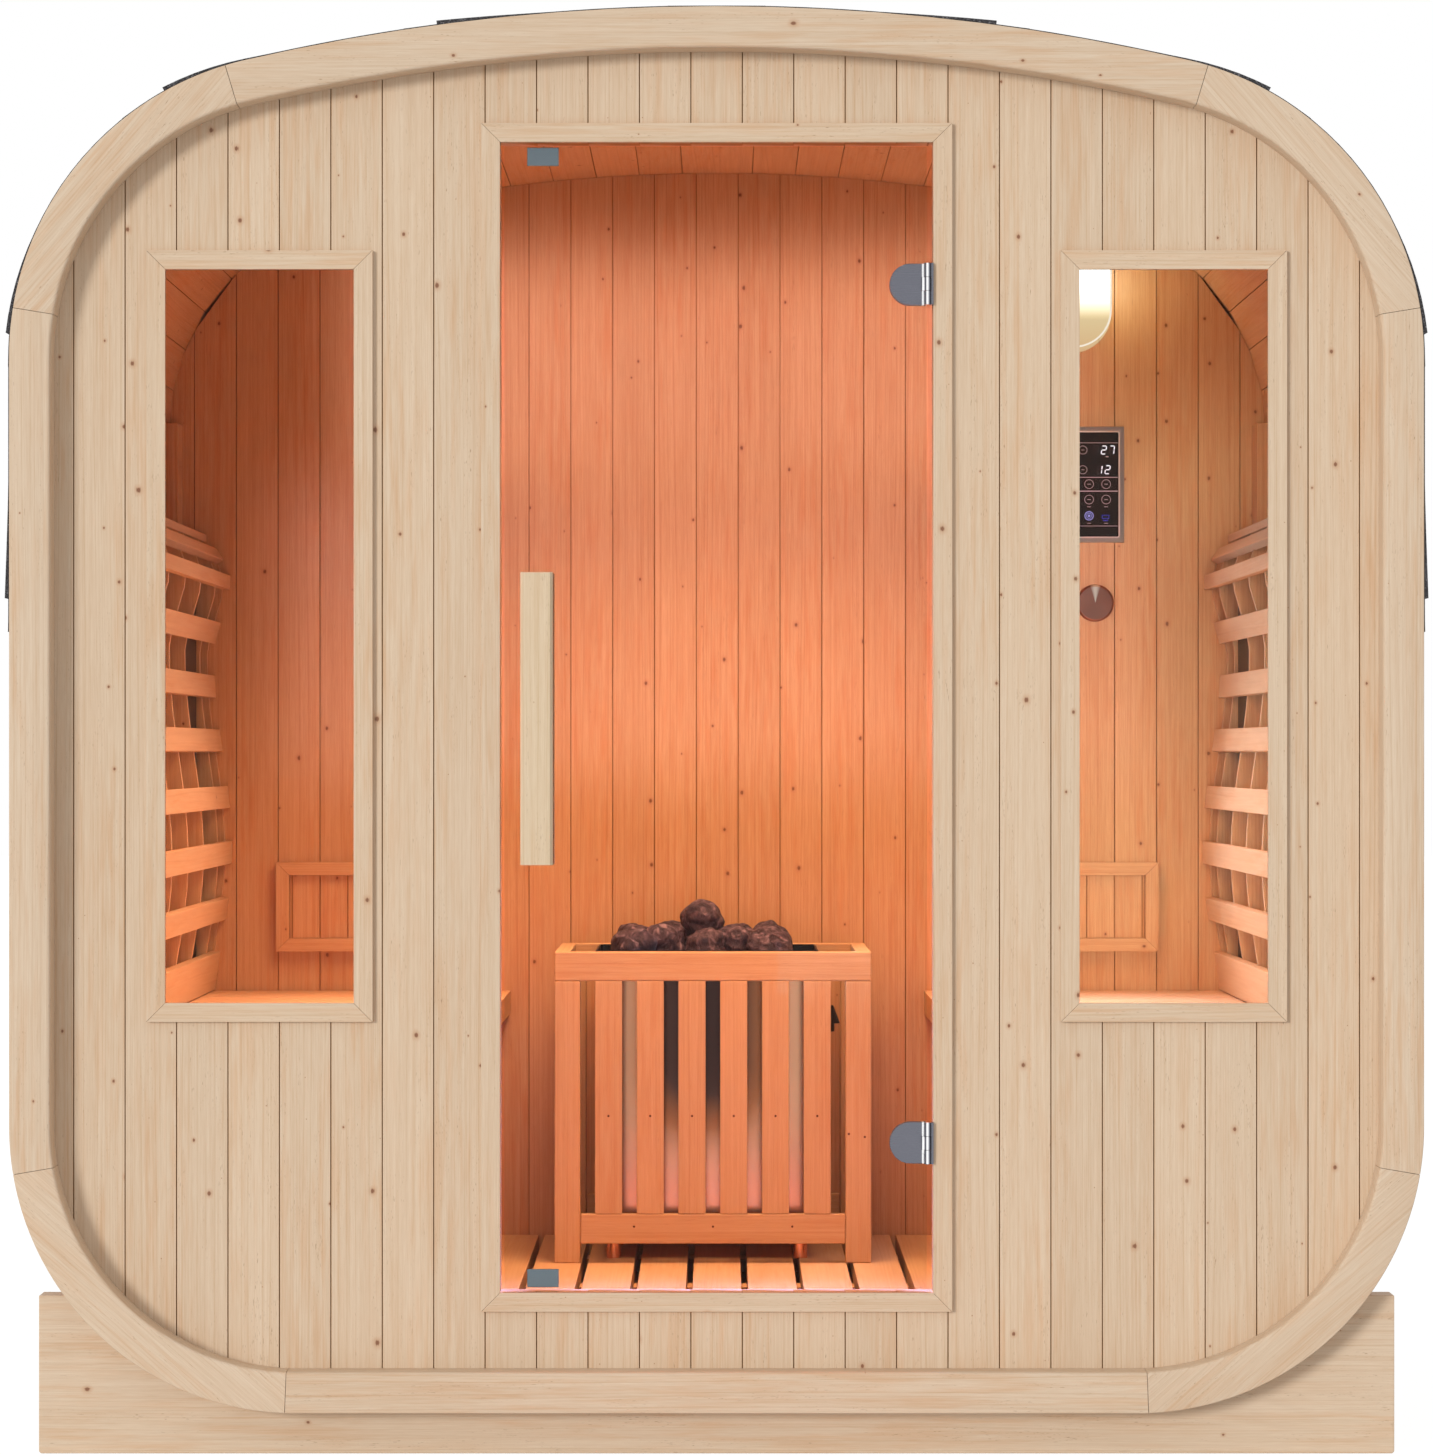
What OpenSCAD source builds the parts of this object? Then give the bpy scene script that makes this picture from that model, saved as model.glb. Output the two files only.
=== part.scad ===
// Cube sauna: a stave-built cabin with rounded corners, end rings, a glass
// door, benches with curved backrests, and a stove behind a slatted guard.
// The front faces -Y, the ground is z = 0, and the origin is under the middle.

/* [Body] */
// Width across the end rings
body_w = 2000; // [1900:10:2600]
// Depth from the front ring's face to the back ring's face
body_d = 1750; // [1450:10:2600]
// Height of the rings' top above the ground
body_top = 2053; // [1900:1:2500]
// Height of the rings' underside above the ground
body_bottom = 64; // [50:1:90]
// Radius of the roof arc
roof_r = 2956; // [2400:1:3600]
// Radius of the upper corners
shoulder_r = 430; // [320:1:520]
// Radius of the lower corners
haunch_r = 405; // [320:1:480]
// Thickness of the staves
stave_t = 40; // [30:1:50]
// Width of one stave or wall board
stave_w = 73.2; // [60:0.1:90]
// Width of the stave along the roof's middle
ridge_w = 122; // [60:1:160]

/* [End rings] */
// Width of the ring, measured inwards from the outline
ring_w = 58; // [48:1:80]
// Thickness of the ring, front to back
ring_t = 50; // [30:1:60]
// Angle of each upper corner that the ring's top piece takes
top_over = 3.8; // [1:0.1:10]
// Angle of each upper corner that the ring's side piece takes
shoulder_over = 9.2; // [2:0.1:20]
// Angle of each lower corner that the ring's side piece takes
haunch_over = 9.6; // [2:0.1:20]
// Angle of each lower corner that the ring's bottom piece takes
bottom_over = 2.2; // [1:0.1:10]
// Gap between neighbouring ring pieces
ring_gap = 0.8; // [0.4:0.1:2]
// Rounding of the inner front edge
ring_arris = 5; // [2:0.5:8]

/* [Walls] */
// Thickness of the front and back walls
wall_t = 40; // [30:1:50]
// Fitting gap between a wall's edge and the staves
wall_fit = 0.3; // [0.2:0.1:1]
// Hairline between wall slabs
slab_gap = 0.4; // [0.2:0.1:1]
// Width of the casings round the door and windows
casing_w = 27; // [20:1:40]
// Thickness of the casings
casing_t = 9; // [6:1:15]

/* [Windows] */
// Width of each window's clear glass
window_w = 268; // [200:1:320]
// Distance from the side of the body to a window's outer edge
window_side = 216; // [180:1:300]
// Height of the glass's lower edge above the rings' underside
window_sill = 578; // [450:1:800]
// Distance from the body's top down to the glass's upper edge
window_head = 368; // [300:1:500]
// Lap of the casing over the glass
glass_lap = 8; // [5:1:12]
// Thickness of the window glass
window_glass_t = 6; // [4:1:10]
// Space round the glass in the wall
glass_play = 2; // [1:0.5:4]

/* [Door] */
// Width of the door opening
door_w = 616; // [560:1:700]
// Height of the door opening's foot above the rings' underside
door_foot = 166; // [140:1:240]
// Distance from the body's top down to the door opening's head
door_head = 187; // [150:1:400]
// Thickness of the glass leaf
door_glass_t = 8; // [6:1:10]
// Gap round the leaf
door_gap = 6; // [5:0.5:8]
// Gap at the leaf's hinge side
hinge_gap = 9; // [8:0.5:12]
// Depth of the leaf's front face behind the wall's face
leaf_inset = 1; // [0:0.5:4]
// Radius of the hinge knuckles
knuckle_r = 5; // [4:0.5:6]
// Height of a hinge plate
hinge_h = 59; // [45:1:80]
// Width of a hinge plate on the glass
hinge_w = 53; // [40:1:70]
// Thickness of each hinge plate
hinge_t = 5; // [3:0.5:6]
// Distance of the upper hinge's middle below the opening's head
hinge_drop = 202; // [150:1:300]
// Distance of the lower hinge's middle above the opening's foot
hinge_rise = 213; // [150:1:300]
// Play between neighbouring knuckles
knuckle_play = 0.4; // [0.3:0.1:1]
// Distance of the hinge's axis beyond the glass's edge
pin_in = 1; // [0:0.5:3]
// Distance of the hinge's axis in front of the casing
pin_out = 2; // [1:0.5:5]
// Thickness of the hinge's webs
web_t = 4; // [3:0.5:6]
// Length of the handle
handle_l = 415; // [300:1:500]
// Width of the handle
handle_w = 46; // [30:1:60]
// Thickness of the handle
handle_t = 24; // [18:1:30]
// Stand-off between the handle and the glass
handle_off = 16; // [10:1:20]
// Distance from the leaf's free edge to the handle
handle_in = 24; // [15:1:60]
// Height of the handle's middle above the opening's foot
handle_z = 816; // [700:1:950]
// Chamfer along the handle's edges
handle_chamfer = 4; // [2:0.5:8]
// Radius of the handle's spacers
spacer_r = 9; // [6:1:12]
// Distance between the handle's spacers
spacer_pitch = 300; // [200:1:400]
// Width of a catch plate
catch_w = 45; // [30:1:60]
// Height of a catch plate
catch_h = 26; // [18:1:40]
// Thickness of a catch plate
catch_t = 3; // [2:0.5:5]
// Distance from the leaf's free edge to the catch plates
catch_in = 32; // [10:1:80]

/* [Floor] */
// Height of the floor joists
joist_h = 23; // [15:1:40]
// Width of a floor joist
joist_w = 60; // [40:1:90]
// Number of floor joists
joist_n = 4; // [3:1:6]
// Distance from each wall to the nearest joist
joist_inset = 80; // [40:1:150]
// Thickness of the floor slats
floor_slat_t = 28; // [18:1:35]
// Distance between floor slats, middle to middle
floor_pitch = 87.6; // [70:0.1:110]
// Gap between floor slats
floor_gap = 10.5; // [5:0.5:15]
// Gap between the floor slats' ends and the walls
floor_end = 5; // [2:1:15]

/* [Benches] */
// Height of the bench tops above the floor
bench_h = 427; // [380:1:480]
// Distance from the middle of the cabin to a bench's front edge
bench_front = 362; // [330:1:420]
// Thickness of the bench slats
bench_slat_t = 20; // [18:1:30]
// Gap between bench slats
bench_gap = 8; // [4:1:12]
// Number of slats in a bench
bench_n = 16; // [12:1:20]
// Height of the front nosing
nosing_h = 41; // [35:1:60]
// Thickness of the front nosing
nosing_t = 20; // [18:1:30]
// Side of a bench bearer's square section
bearer_s = 38; // [30:1:50]

/* [Backrests] */
// Thickness of the backrest slats
back_slat_t = 15; // [12:1:20]
// Thickness of a rib
rib_t = 12; // [10:1:20]
// Distance between ribs
rib_pitch = 236; // [224:1:300]
// Distance from the back wall to the first inner rib
rib_first = 130; // [80:1:200]
// Depth of the housings that the slats lie in
housing = 3; // [2:0.5:5]
// Clearance round a slat in its housing
housing_fit = 0.3; // [0.2:0.1:0.6]
// Thickness of the heat emitters
emitter_t = 14; // [8:1:25]
// Width of the heat emitters along the wall
emitter_w = 204; // [100:1:206]
// Height of the heat emitters
emitter_h = 690; // [500:1:720]
// Height of the emitters' foot above the bench top
emitter_rise = 18; // [5:1:60]
// Thickness of the backrest's top board
back_cap_t = 14; // [10:1:20]
// Thickness of the battens in the back corners
batten_t = 22; // [15:1:30]
// Width of the battens in the back corners
batten_w = 80; // [60:1:100]
// Height of the battens in the back corners
batten_h = 190; // [120:1:200]

/* [Stove guard] */
// Width of the guard
guard_w = 524; // [440:1:560]
// Offset of the guard's middle from the cabin's middle
guard_x = -7; // [-20:1:20]
// Depth of the guard
guard_d = 392; // [330:1:450]
// Height of the guard
guard_h = 514; // [450:1:560]
// Distance from the back wall to the guard
guard_back = 93; // [60:1:200]
// Side of the guard's square posts
guard_post = 43; // [36:1:50]
// Height of the guard's top rails
guard_top_h = 48; // [36:1:60]
// Height of the guard's bottom rails
guard_foot_rail = 49; // [36:1:60]
// Height of the guard's legs under the bottom rails
guard_leg = 32; // [20:1:60]
// Thickness of the guard's slats and rails
guard_t = 18; // [15:1:24]
// Thickness of the guard's top rails
guard_top_t = 25; // [18:1:36]
// Number of slats across the front
guard_front_n = 6; // [5:1:7]
// Number of slats along each side
guard_side_n = 4; // [3:1:5]
// Width of a guard slat
guard_slat_w = 45; // [35:1:50]
// Fitting gap between the guard's pieces
guard_fit = 0.3; // [0.2:0.1:0.6]

/* [Stove] */
// Width of the stove
stove_w = 371; // [320:1:400]
// Depth of the stove
stove_d = 270; // [220:1:300]
// Distance of the stove's middle from the guard's middle, to the right
stove_off = -17; // [-20:1:20]
// Height of the stove's feet
stove_foot = 60; // [40:1:120]
// Radius of the feet
foot_r = 12; // [8:1:20]
// Distance of the feet's middles from the sides of the tray
foot_in = 30; // [25:1:50]
// Distance from the tray's edge in to the stove's casing
casing_in = 6; // [3:1:12]
// Radius of the casing's upright corners
casing_r = 18; // [5:1:30]
// Distance of the tray's rim below the guard's top
tray_drop = 0; // [0:1:20]
// Depth of the stone tray
tray_h = 45; // [20:1:50]
// Thickness of the tray's sheet
tray_t = 3; // [2:0.5:4]
// Radius of the wiring cap's skirt on the stove's side
cap_r = 23; // [15:1:30]
// Radius of the wiring cap's upper end
cap_neck_r = 12; // [8:1:15]
// Height of the wiring cap's skirt
cap_h = 30; // [20:1:50]
// Radius of the stub below the wiring cap
cap_stub_r = 14; // [8:1:15]
// Height of the stub below the wiring cap
cap_stub_h = 14; // [8:1:30]
// Distance of the wiring cap's upper end below the tray's rim
cap_drop = 98; // [50:1:150]
// Width of a stone
stone_s = 72; // [50:1:72]
// Height of a stone
stone_h = 92; // [50:1:95]
// Height of the topmost stone
stone_top_h = 68; // [50:1:80]
// Height of the topmost stone's underside above the tray's floor
stone_top = 64.5; // [60:0.5:90]
// Offset of the stones' middle from the stove's middle
stone_off = -9; // [-9:1:9]
// Number of columns of stones across the tray
stone_cols = 5; // [3:1:5]
// Distance between columns of stones
stone_col = 61; // [61:1:70]
// Number of stones in the first column
stone_rows = 3; // [2:1:3]
// Distance between the stones of a column
stone_row = 80; // [80:1:90]

/* [Fittings] */
// Width of the wall lamp
lamp_w = 140; // [110:1:160]
// Height of the wall lamp
lamp_h = 200; // [165:1:240]
// Depth of the wall lamp
lamp_d = 70; // [50:1:90]
// Thickness of the lamp's wall plate
lamp_plate = 12; // [6:1:20]
// Distance that the plate stands out round the shade
lamp_lip = 4; // [2:1:8]
// Distance from the cabin's side to the lamp's middle
lamp_side = 341; // [250:1:500]
// Gap between the roof staves and the level of the lamp's top
lamp_under = 33; // [20:1:80]
// Width of the control panel
panel_w = 124; // [100:1:150]
// Height of the control panel
panel_h = 202; // [160:1:240]
// Depth of the control panel
panel_d = 16; // [12:1:30]
// Width of the control panel's frame
panel_rim = 8; // [5:1:15]
// Depth of the control panel's face behind its frame
panel_face = 2; // [1:0.5:5]
// Distance from the cabin's side to the panel's middle
panel_side = 311; // [250:1:500]
// Height of the panel's foot above the floor
panel_z = 1211; // [1150:1:1300]
// Diameter of the round vent
vent_dia = 65; // [50:1:80]
// Depth of the round vent
vent_d = 12; // [8:1:20]
// Distance from the cabin's side to the vent's middle
vent_side = 299; // [250:1:500]
// Height of the vent's middle above the floor
vent_z = 1105; // [1000:1:1140]
// Width of the framed lower panels
low_w = 330; // [280:1:380]
// Height of the framed lower panels
low_h = 156; // [120:1:200]
// Width of the lower panels' frame
low_frame = 23; // [15:1:35]
// Thickness of the lower panels' frame
low_t = 18; // [12:1:25]
// Thickness of the lower panels' boards
low_board_t = 8; // [5:1:12]
// Distance from the cabin's side to the lower panels
low_side = 189; // [130:1:260]
// Height of the lower panels above the bench top
low_rise = 69; // [20:1:150]

/* [Cradles] */
// Distance from the body's side in to the cradle beams' ends
cradle_side = 35; // [0:1:150]
// Height of the cradle beams
cradle_h = 225; // [180:1:260]
// Thickness of the cradle beams
cradle_t = 50; // [40:1:140]
// Distance between a ring and its cradle
cradle_in = 3; // [1:1:60]
// Chamfer on the cradle's ends
cradle_chamfer = 3; // [2:1:20]

/* [Shingles] */
// Distance from the roof's middle to the crown sheet's lower edge
crown_l = 209; // [150:1:260]
// Exposed length of a course on the roof and the sides
course = 187.5; // [150:0.5:220]
// Number of courses below the crown sheet on the roof
roof_courses = 2; // [1:1:3]
// Number of courses round each upper corner
corner_courses = 3; // [2:1:4]
// Exposed length of a course round an upper corner
corner_course = 211; // [150:1:230]
// Number of courses on each side
side_courses = 3; // [1:1:3]
// Thickness at the lower edge of a course whose tabs meet the ends
butt_t = 6.5; // [4:0.5:8]
// Thickness at the lower edge of a course whose notches meet the ends
notch_t = 2; // [1.5:0.1:3]
// Thickness of a course at its upper edge
head_t = 1.2; // [1:0.1:1.4]
// Gap between the shingles and the staves
shingle_fit = 0.6; // [0.4:0.1:0.8]
// Distance from the ring's face to the shingles' ends
shingle_in = 4; // [0:1:30]

/* [Hidden] */

// Planes along Y
front_y = -body_d / 2;
wall_y = front_y + ring_t;
cabin_y = wall_y + wall_t;
cabin_l = -2 * cabin_y;

// Centres of the arcs: each corner touches the flat side and the roof or the belly
half_w = body_w / 2;
roof_c = [0, body_top - roof_r];
shoulder_x = half_w - shoulder_r;
shoulder_c = [shoulder_x, roof_c.y + sqrt(pow(roof_r - shoulder_r, 2) - pow(shoulder_x, 2))];
haunch_c = [half_w - haunch_r, body_bottom + haunch_r];

// Direction at which the roof's arc hands over to the corner's, and half the ridge stave's angle
roof_a = angle_of(shoulder_c - roof_c);
ridge_a = asin(ridge_w / 2 / (roof_r - stave_t));

// Number of staves on each stretch, so that their inner faces come near to stave_w
roof_n = facets(roof_r - stave_t, 90 - ridge_a, roof_a);
shoulder_n = facets(shoulder_r - stave_t, roof_a, 0);
haunch_n = facets(haunch_r - stave_t, 0, 90);
side_n = round((shoulder_c.y - haunch_c.y) / stave_w);

// Staves that make one panel of a side, which is flat
side_group = 8;

// Heights
floor_top = body_bottom + stave_t + joist_h + floor_slat_t;
bench_top = floor_top + bench_h;
window_z0 = body_bottom + window_sill;
window_z1 = body_top - window_head;
door_z0 = body_bottom + door_foot;
door_z1 = body_top - door_head;

// Places across the front
window_x1 = half_w - window_side;
window_x0 = window_x1 - window_w;
door_x = door_w / 2;

// Half the width inside the staves
cabin_x = half_w - stave_t;
back_face = -cabin_y;

// How far a flat stave on an upper corner cuts inside its arc
stave_sag = stave_w * stave_w / 8 / (shoulder_r - stave_t);

// Hinge axis, on the wall's outer side at the right of the door
axis_x = door_x - hinge_gap + pin_in;
axis_y = wall_y - casing_t - pin_out;
leaf_y = wall_y + leaf_inset;
upper_hinge = door_z1 - hinge_drop;
lower_hinge = door_z0 + hinge_rise;

// Backrest curve: height above the bench top and distance from the side wall
back_curve = [[-52, 80], [243, 111], [583, 80], [715, 108], [830, 60]];
// Backrest slats: height of the middle above the bench top, and width
back_slats = [
    [35, 67], [143, 39], [242, 39], [339, 39], [438, 39], [532, 39], [625, 39],
    [714, 25], [764, 25]
];
// Top board of a backrest: its height above the bench top and its depth
back_cap_z = 784;
back_cap_x = 66;
emitter_x = min([for (s = back_curve) if (s.x < back_cap_z) s.y]) - back_slat_t;

// Stove guard and stove
guard_y1 = back_face - guard_back;
guard_y0 = guard_y1 - guard_d;
guard_top = floor_top + guard_h;
stove_y = (guard_y0 + guard_y1) / 2;
stove_top = guard_top - tray_drop;

// A height above everything, and the overlap of a cut or a joined piece
big = 2 * body_top;
over = 1;

// How far a ring's facets may lie from its arcs, and the facets of its rounded edge
ring_dev = 0.3;
arris_n = 3;

// --- geometry helpers -------------------------------------------------------

// Direction of a vector, in degrees
function angle_of(v) = atan2(v.y, v.x);

// Points along an arc in n equal steps
function arc(c, r, a0, a1, n) = [for (i = [0:n]) c + r * unit(a0 + (a1 - a0) * i / n)];
function unit(a) = [cos(a), sin(a)];
function later(list) = [for (i = [1:len(list) - 1]) list[i]];
function reversed(list) = [for (i = [len(list) - 1:-1:0]) list[i]];
function flipped(list) = [for (p = reversed(list)) [-p.x, p.y]];
function facets(r, a0, a1) = max(1, round(abs(a1 - a0) * PI / 180 * r / stave_w));

// Right half of the body's outline, top to bottom, set in by off
function half_outline(off) = concat(
    arc(roof_c, roof_r - off, 90 - ridge_a, roof_a, roof_n),
    later(arc(shoulder_c, shoulder_r - off, roof_a, 0, shoulder_n)),
    arc(haunch_c, haunch_r - off, 0, -90, haunch_n));

// Half-width of the outline set in by off, at height z below the roof
function half_at(z, off) =
    z < haunch_c.y ? haunch_c.x + sqrt(pow(haunch_r - off, 2) - pow(z - haunch_c.y, 2))
    : z > shoulder_c.y ? shoulder_c.x + sqrt(pow(shoulder_r - off, 2) - pow(z - shoulder_c.y, 2))
    : half_w - off;

// Height of the roof staves' inner face at x
function ceiling(x) = roof_c.y + sqrt(pow(roof_r - stave_t, 2) - x * x);

// Smooth curve through stations [height, distance], level at each station
function ease(t) = (1 - cos(180 * t)) / 2;
function along(curve, z, i = 0) =
    i >= len(curve) - 2 || z <= curve[i + 1].x
        ? let (a = curve[i], b = curve[i + 1])
          a.y + (b.y - a.y) * ease(min(1, max(0, (z - a.x) / (b.x - a.x))))
        : along(curve, z, i + 1);
function slope(curve, z) = (along(curve, z + 1) - along(curve, z - 1)) / 2;

// A profile drawn in X and Z, from plane y for length l
module across(y, l) {
    translate([0, y + l, 0]) rotate([90, 0, 0]) linear_extrude(l) children();
}

// A box from its low corner to its high corner
module block(lo, hi) {
    translate(lo) cube(hi - lo);
}

module both_sides() {
    children();
    mirror([1, 0, 0]) children();
}

module both_ends() {
    children();
    mirror([0, 1, 0]) children();
}

// --- end rings --------------------------------------------------------------

// Section of a ring: X outwards from the inner edge, Y backwards from the front
// face, with the inner front edge rounded
ring_section = concat(
    [[0, ring_t]],
    [for (i = [0:arris_n]) ring_arris * ([1, 1] + unit(180 + 90 * i / arris_n))],
    [[ring_w, 0], [ring_w, ring_t]]);

// Stations along an arc: a point of the outline and the direction outwards there
function stations(c, r, a0, a1) =
    let (n = max(1, ceil(abs(a1 - a0) / 2 / acos(1 - ring_dev / r))))
    [for (i = [0:n]) let (a = a0 + (a1 - a0) * i / n) [c + r * unit(a), a]];

// Angle that half a joint's gap takes on a radius
function gap_a(r) = ring_gap / 2 / r * 180 / PI;

// The section carried along the stations, with a cap at each end
module ring_piece(path) {
    n = len(ring_section);
    m = len(path);
    points = [for (p = path, s = ring_section)
        let (q = p[0] - (ring_w - s.x) * unit(p[1])) [q.x, front_y + s.y, q.y]];
    sides = [for (i = [0:m - 2], j = [0:n - 1])
        let (a = i * n, b = a + n, k = (j + 1) % n)
        each [[a + j, b + k, a + k], [a + j, b + j, b + k]]];
    caps = [[for (j = [0:n - 1]) j], [for (j = [n - 1:-1:0]) (m - 1) * n + j]];
    polyhedron(points, concat(sides, caps));
}

// The same stations on the other side, in the opposite order
function mirrored(path) = [for (p = reversed(path)) [[-p[0].x, p[0].y], 180 - p[1]]];

// Top piece: the roof's arc with a short length of both upper corners
module ring_top() {
    half = concat(stations(roof_c, roof_r, 90, roof_a),
        later(stations(shoulder_c, shoulder_r, roof_a, roof_a - top_over + gap_a(shoulder_r))));
    ring_piece(concat(mirrored(half), later(half)));
}

module ring_corner(c, r, a0, a1) {
    g = gap_a(r);
    ring_piece(stations(c, r, a0 - g, a1 + g));
}

// Side piece: straight, with a short length of both corners
module ring_side() {
    ring_piece(concat(
        stations(shoulder_c, shoulder_r, shoulder_over - gap_a(shoulder_r), 0),
        stations(haunch_c, haunch_r, 0, gap_a(haunch_r) - haunch_over)));
}

// Bottom piece: straight, with a short length of both lower corners
module ring_bottom() {
    half = stations(haunch_c, haunch_r, bottom_over - 90 - gap_a(haunch_r), -90);
    ring_piece(concat(half, mirrored(half)));
}

module ring() {
    ring_top();
    ring_bottom();
    both_sides() {
        ring_corner(shoulder_c, shoulder_r, roof_a - top_over, shoulder_over);
        ring_side();
        ring_corner(haunch_c, haunch_r, -haunch_over, bottom_over - 90);
    }
}

module front_ring() {
    color("burlywood") ring();
}

module back_ring() {
    color("burlywood") mirror([0, 1, 0]) ring();
}

// --- staves -----------------------------------------------------------------

// n staves along an arc, a hairline apart
module stave_arc(c, r, a0, a1, n) {
    step = (a1 - a0) / n;
    hair = slab_gap / 2 / r * 180 / PI;
    for (i = [0:n - 1]) {
        b0 = a0 + i * step - hair;
        b1 = b0 + step + 2 * hair;
        across(wall_y, -2 * wall_y)
            polygon(concat(arc(c, r, b0, b1, 1), arc(c, r - stave_t, b1, b0, 1)));
    }
}

module roof_staves() {
    color("burlywood") {
        stave_arc(roof_c, roof_r, 90 + ridge_a, 90 - ridge_a, 1);
        both_sides() stave_arc(roof_c, roof_r, 90 - ridge_a, roof_a, roof_n);
    }
}

module shoulder_staves() {
    stave_arc(shoulder_c, shoulder_r, roof_a, 0, shoulder_n);
}

// Flat side, in panels of side_group staves
module side_staves() {
    step = (shoulder_c.y - haunch_c.y) / side_n;
    for (i = [0:side_group:side_n - 1])
        block([half_w - stave_t, wall_y, haunch_c.y + i * step + slab_gap / 2],
              [half_w, -wall_y, haunch_c.y + min(i + side_group, side_n) * step - slab_gap / 2]);
}

module haunch_staves() {
    stave_arc(haunch_c, haunch_r, 0, -90, haunch_n);
}

module shoulder_staves_right() {
    color("burlywood") shoulder_staves();
}

module shoulder_staves_left() {
    color("burlywood") mirror([1, 0, 0]) shoulder_staves();
}

module side_staves_right() {
    color("burlywood") side_staves();
}

module side_staves_left() {
    color("burlywood") mirror([1, 0, 0]) side_staves();
}

module haunch_staves_right() {
    color("burlywood") haunch_staves();
}

module haunch_staves_left() {
    color("burlywood") mirror([1, 0, 0]) haunch_staves();
}

module belly_staves() {
    x = haunch_c.x - slab_gap / 2;
    color("burlywood")
        across(wall_y, -2 * wall_y)
            translate([-x, body_bottom]) square([2 * x, stave_t]);
}

// --- walls ------------------------------------------------------------------

// The space inside the staves, as an outline
module cabin_outline() {
    half = half_outline(stave_t + wall_fit);
    polygon(concat(half, flipped(half)));
}

// Part of a wall between two heights and two places across
module wall_slab(y, x0, x1, z0, z1) {
    across(y, wall_t) intersection() {
        cabin_outline();
        translate([x0, z0]) square([x1 - x0, z1 - z0]);
    }
}

// The front wall beside the door, in slabs round the window
module front_wall_side() {
    cut = glass_lap - glass_play + slab_gap / 2;
    x0 = window_x0 - cut;
    x1 = window_x1 + cut;
    wall_slab(wall_y, door_x, x0 - slab_gap / 2, 0, big);
    wall_slab(wall_y, x1 + slab_gap / 2, half_w, 0, big);
    wall_slab(wall_y, x0 + slab_gap / 2, x1 - slab_gap / 2, 0, window_z0 - cut);
    wall_slab(wall_y, x0 + slab_gap / 2, x1 - slab_gap / 2, window_z1 + cut, big);
}

module front_wall_right() {
    color("burlywood") front_wall_side();
}

module front_wall_left() {
    color("burlywood") mirror([1, 0, 0]) front_wall_side();
}

module front_wall_over_door() {
    x = door_x - slab_gap;
    color("burlywood") wall_slab(wall_y, -x, x, door_z1, big);
}

module front_wall_sill() {
    x = door_x - slab_gap;
    color("burlywood") wall_slab(wall_y, -x, x, 0, door_z0);
}

module back_wall() {
    color("burlywood") wall_slab(-cabin_y, -half_w, half_w, 0, big);
}

// Four mitred casing pieces round an opening, planted on the wall's face
module casing(x0, x1, z0, z1) {
    g = slab_gap;
    w = casing_w;
    y = wall_y - casing_t;
    across(y, casing_t) polygon([[x0 + g, z1], [x1 - g, z1], [x1 + w - g, z1 + w], [x0 - w + g, z1 + w]]);
    across(y, casing_t) polygon([[x0 + g, z0], [x1 - g, z0], [x1 + w - g, z0 - w], [x0 - w + g, z0 - w]]);
    across(y, casing_t) polygon([[x0, z0], [x0, z1], [x0 - w, z1 + w], [x0 - w, z0 - w]]);
    across(y, casing_t) polygon([[x1, z0], [x1, z1], [x1 + w, z1 + w], [x1 + w, z0 - w]]);
}

module window_casings() {
    color("wheat") both_sides() casing(window_x0, window_x1, window_z0, window_z1);
}

module window_glass() {
    lap = glass_lap - glass_play - glass_play;
    y = wall_y + wall_fit;
    color("lightblue", 0.4) both_sides()
        block([window_x0 - lap, y, window_z0 - lap],
              [window_x1 + lap, y + window_glass_t, window_z1 + lap]);
}

// --- door -------------------------------------------------------------------

module door_casing() {
    color("wheat") casing(-door_x, door_x, door_z0, door_z1);
}

module door_glass() {
    color("lightblue", 0.4)
        block([-door_x + door_gap, leaf_y, door_z0 + door_gap],
              [door_x - hinge_gap, leaf_y + door_glass_t, door_z1 - door_gap]);
}

// D-shaped plate, flat at the hinge side, drawn in X and Z round z = 0
module hinge_outline() {
    r = hinge_h / 2;
    x1 = door_x - hinge_gap;
    translate([x1 - hinge_w + r, 0]) circle(r, $fn = 64);
    translate([x1 - hinge_w + r, -r]) square([hinge_w - r, hinge_h]);
}

module knuckle(z0, z1) {
    translate([axis_x, axis_y, z0]) cylinder(h = z1 - z0, r = knuckle_r, $fn = 48);
}

// Moving half: outer and inner plates with the middle knuckle
module hinge_plate(z) {
    third = hinge_h / 6 - knuckle_play / 2;
    union() {
        translate([0, 0, z]) across(leaf_y - hinge_t, hinge_t) hinge_outline();
        knuckle(z - third, z + third);
        block([axis_x - knuckle_r - web_t, axis_y - web_t / 2, z - third],
              [axis_x - pin_in, leaf_y - hinge_t + over, z + third]);
    }
    translate([0, 0, z]) across(leaf_y + door_glass_t, hinge_t) hinge_outline();
}

module hinge_plates() {
    color("silver") {
        hinge_plate(upper_hinge);
        hinge_plate(lower_hinge);
    }
}

// Fixed half: a leaf on the opening's edge with the outer knuckles
module hinge_leaf(z) {
    third = hinge_h / 6 + knuckle_play / 2;
    h = hinge_h / 2 - third;
    x0 = axis_x + knuckle_r;
    union() {
        block([x0, axis_y - web_t, z - hinge_h / 2], [door_x, wall_y + hinge_t, z + hinge_h / 2]);
        for (s = [-1, 1])
            translate([0, 0, z + s * (third + hinge_h / 2) / 2]) {
                knuckle(-h / 2, h / 2);
                block([axis_x, axis_y - web_t / 2, -h / 2], [x0 + over, axis_y + web_t / 2, h / 2]);
            }
    }
}

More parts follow.
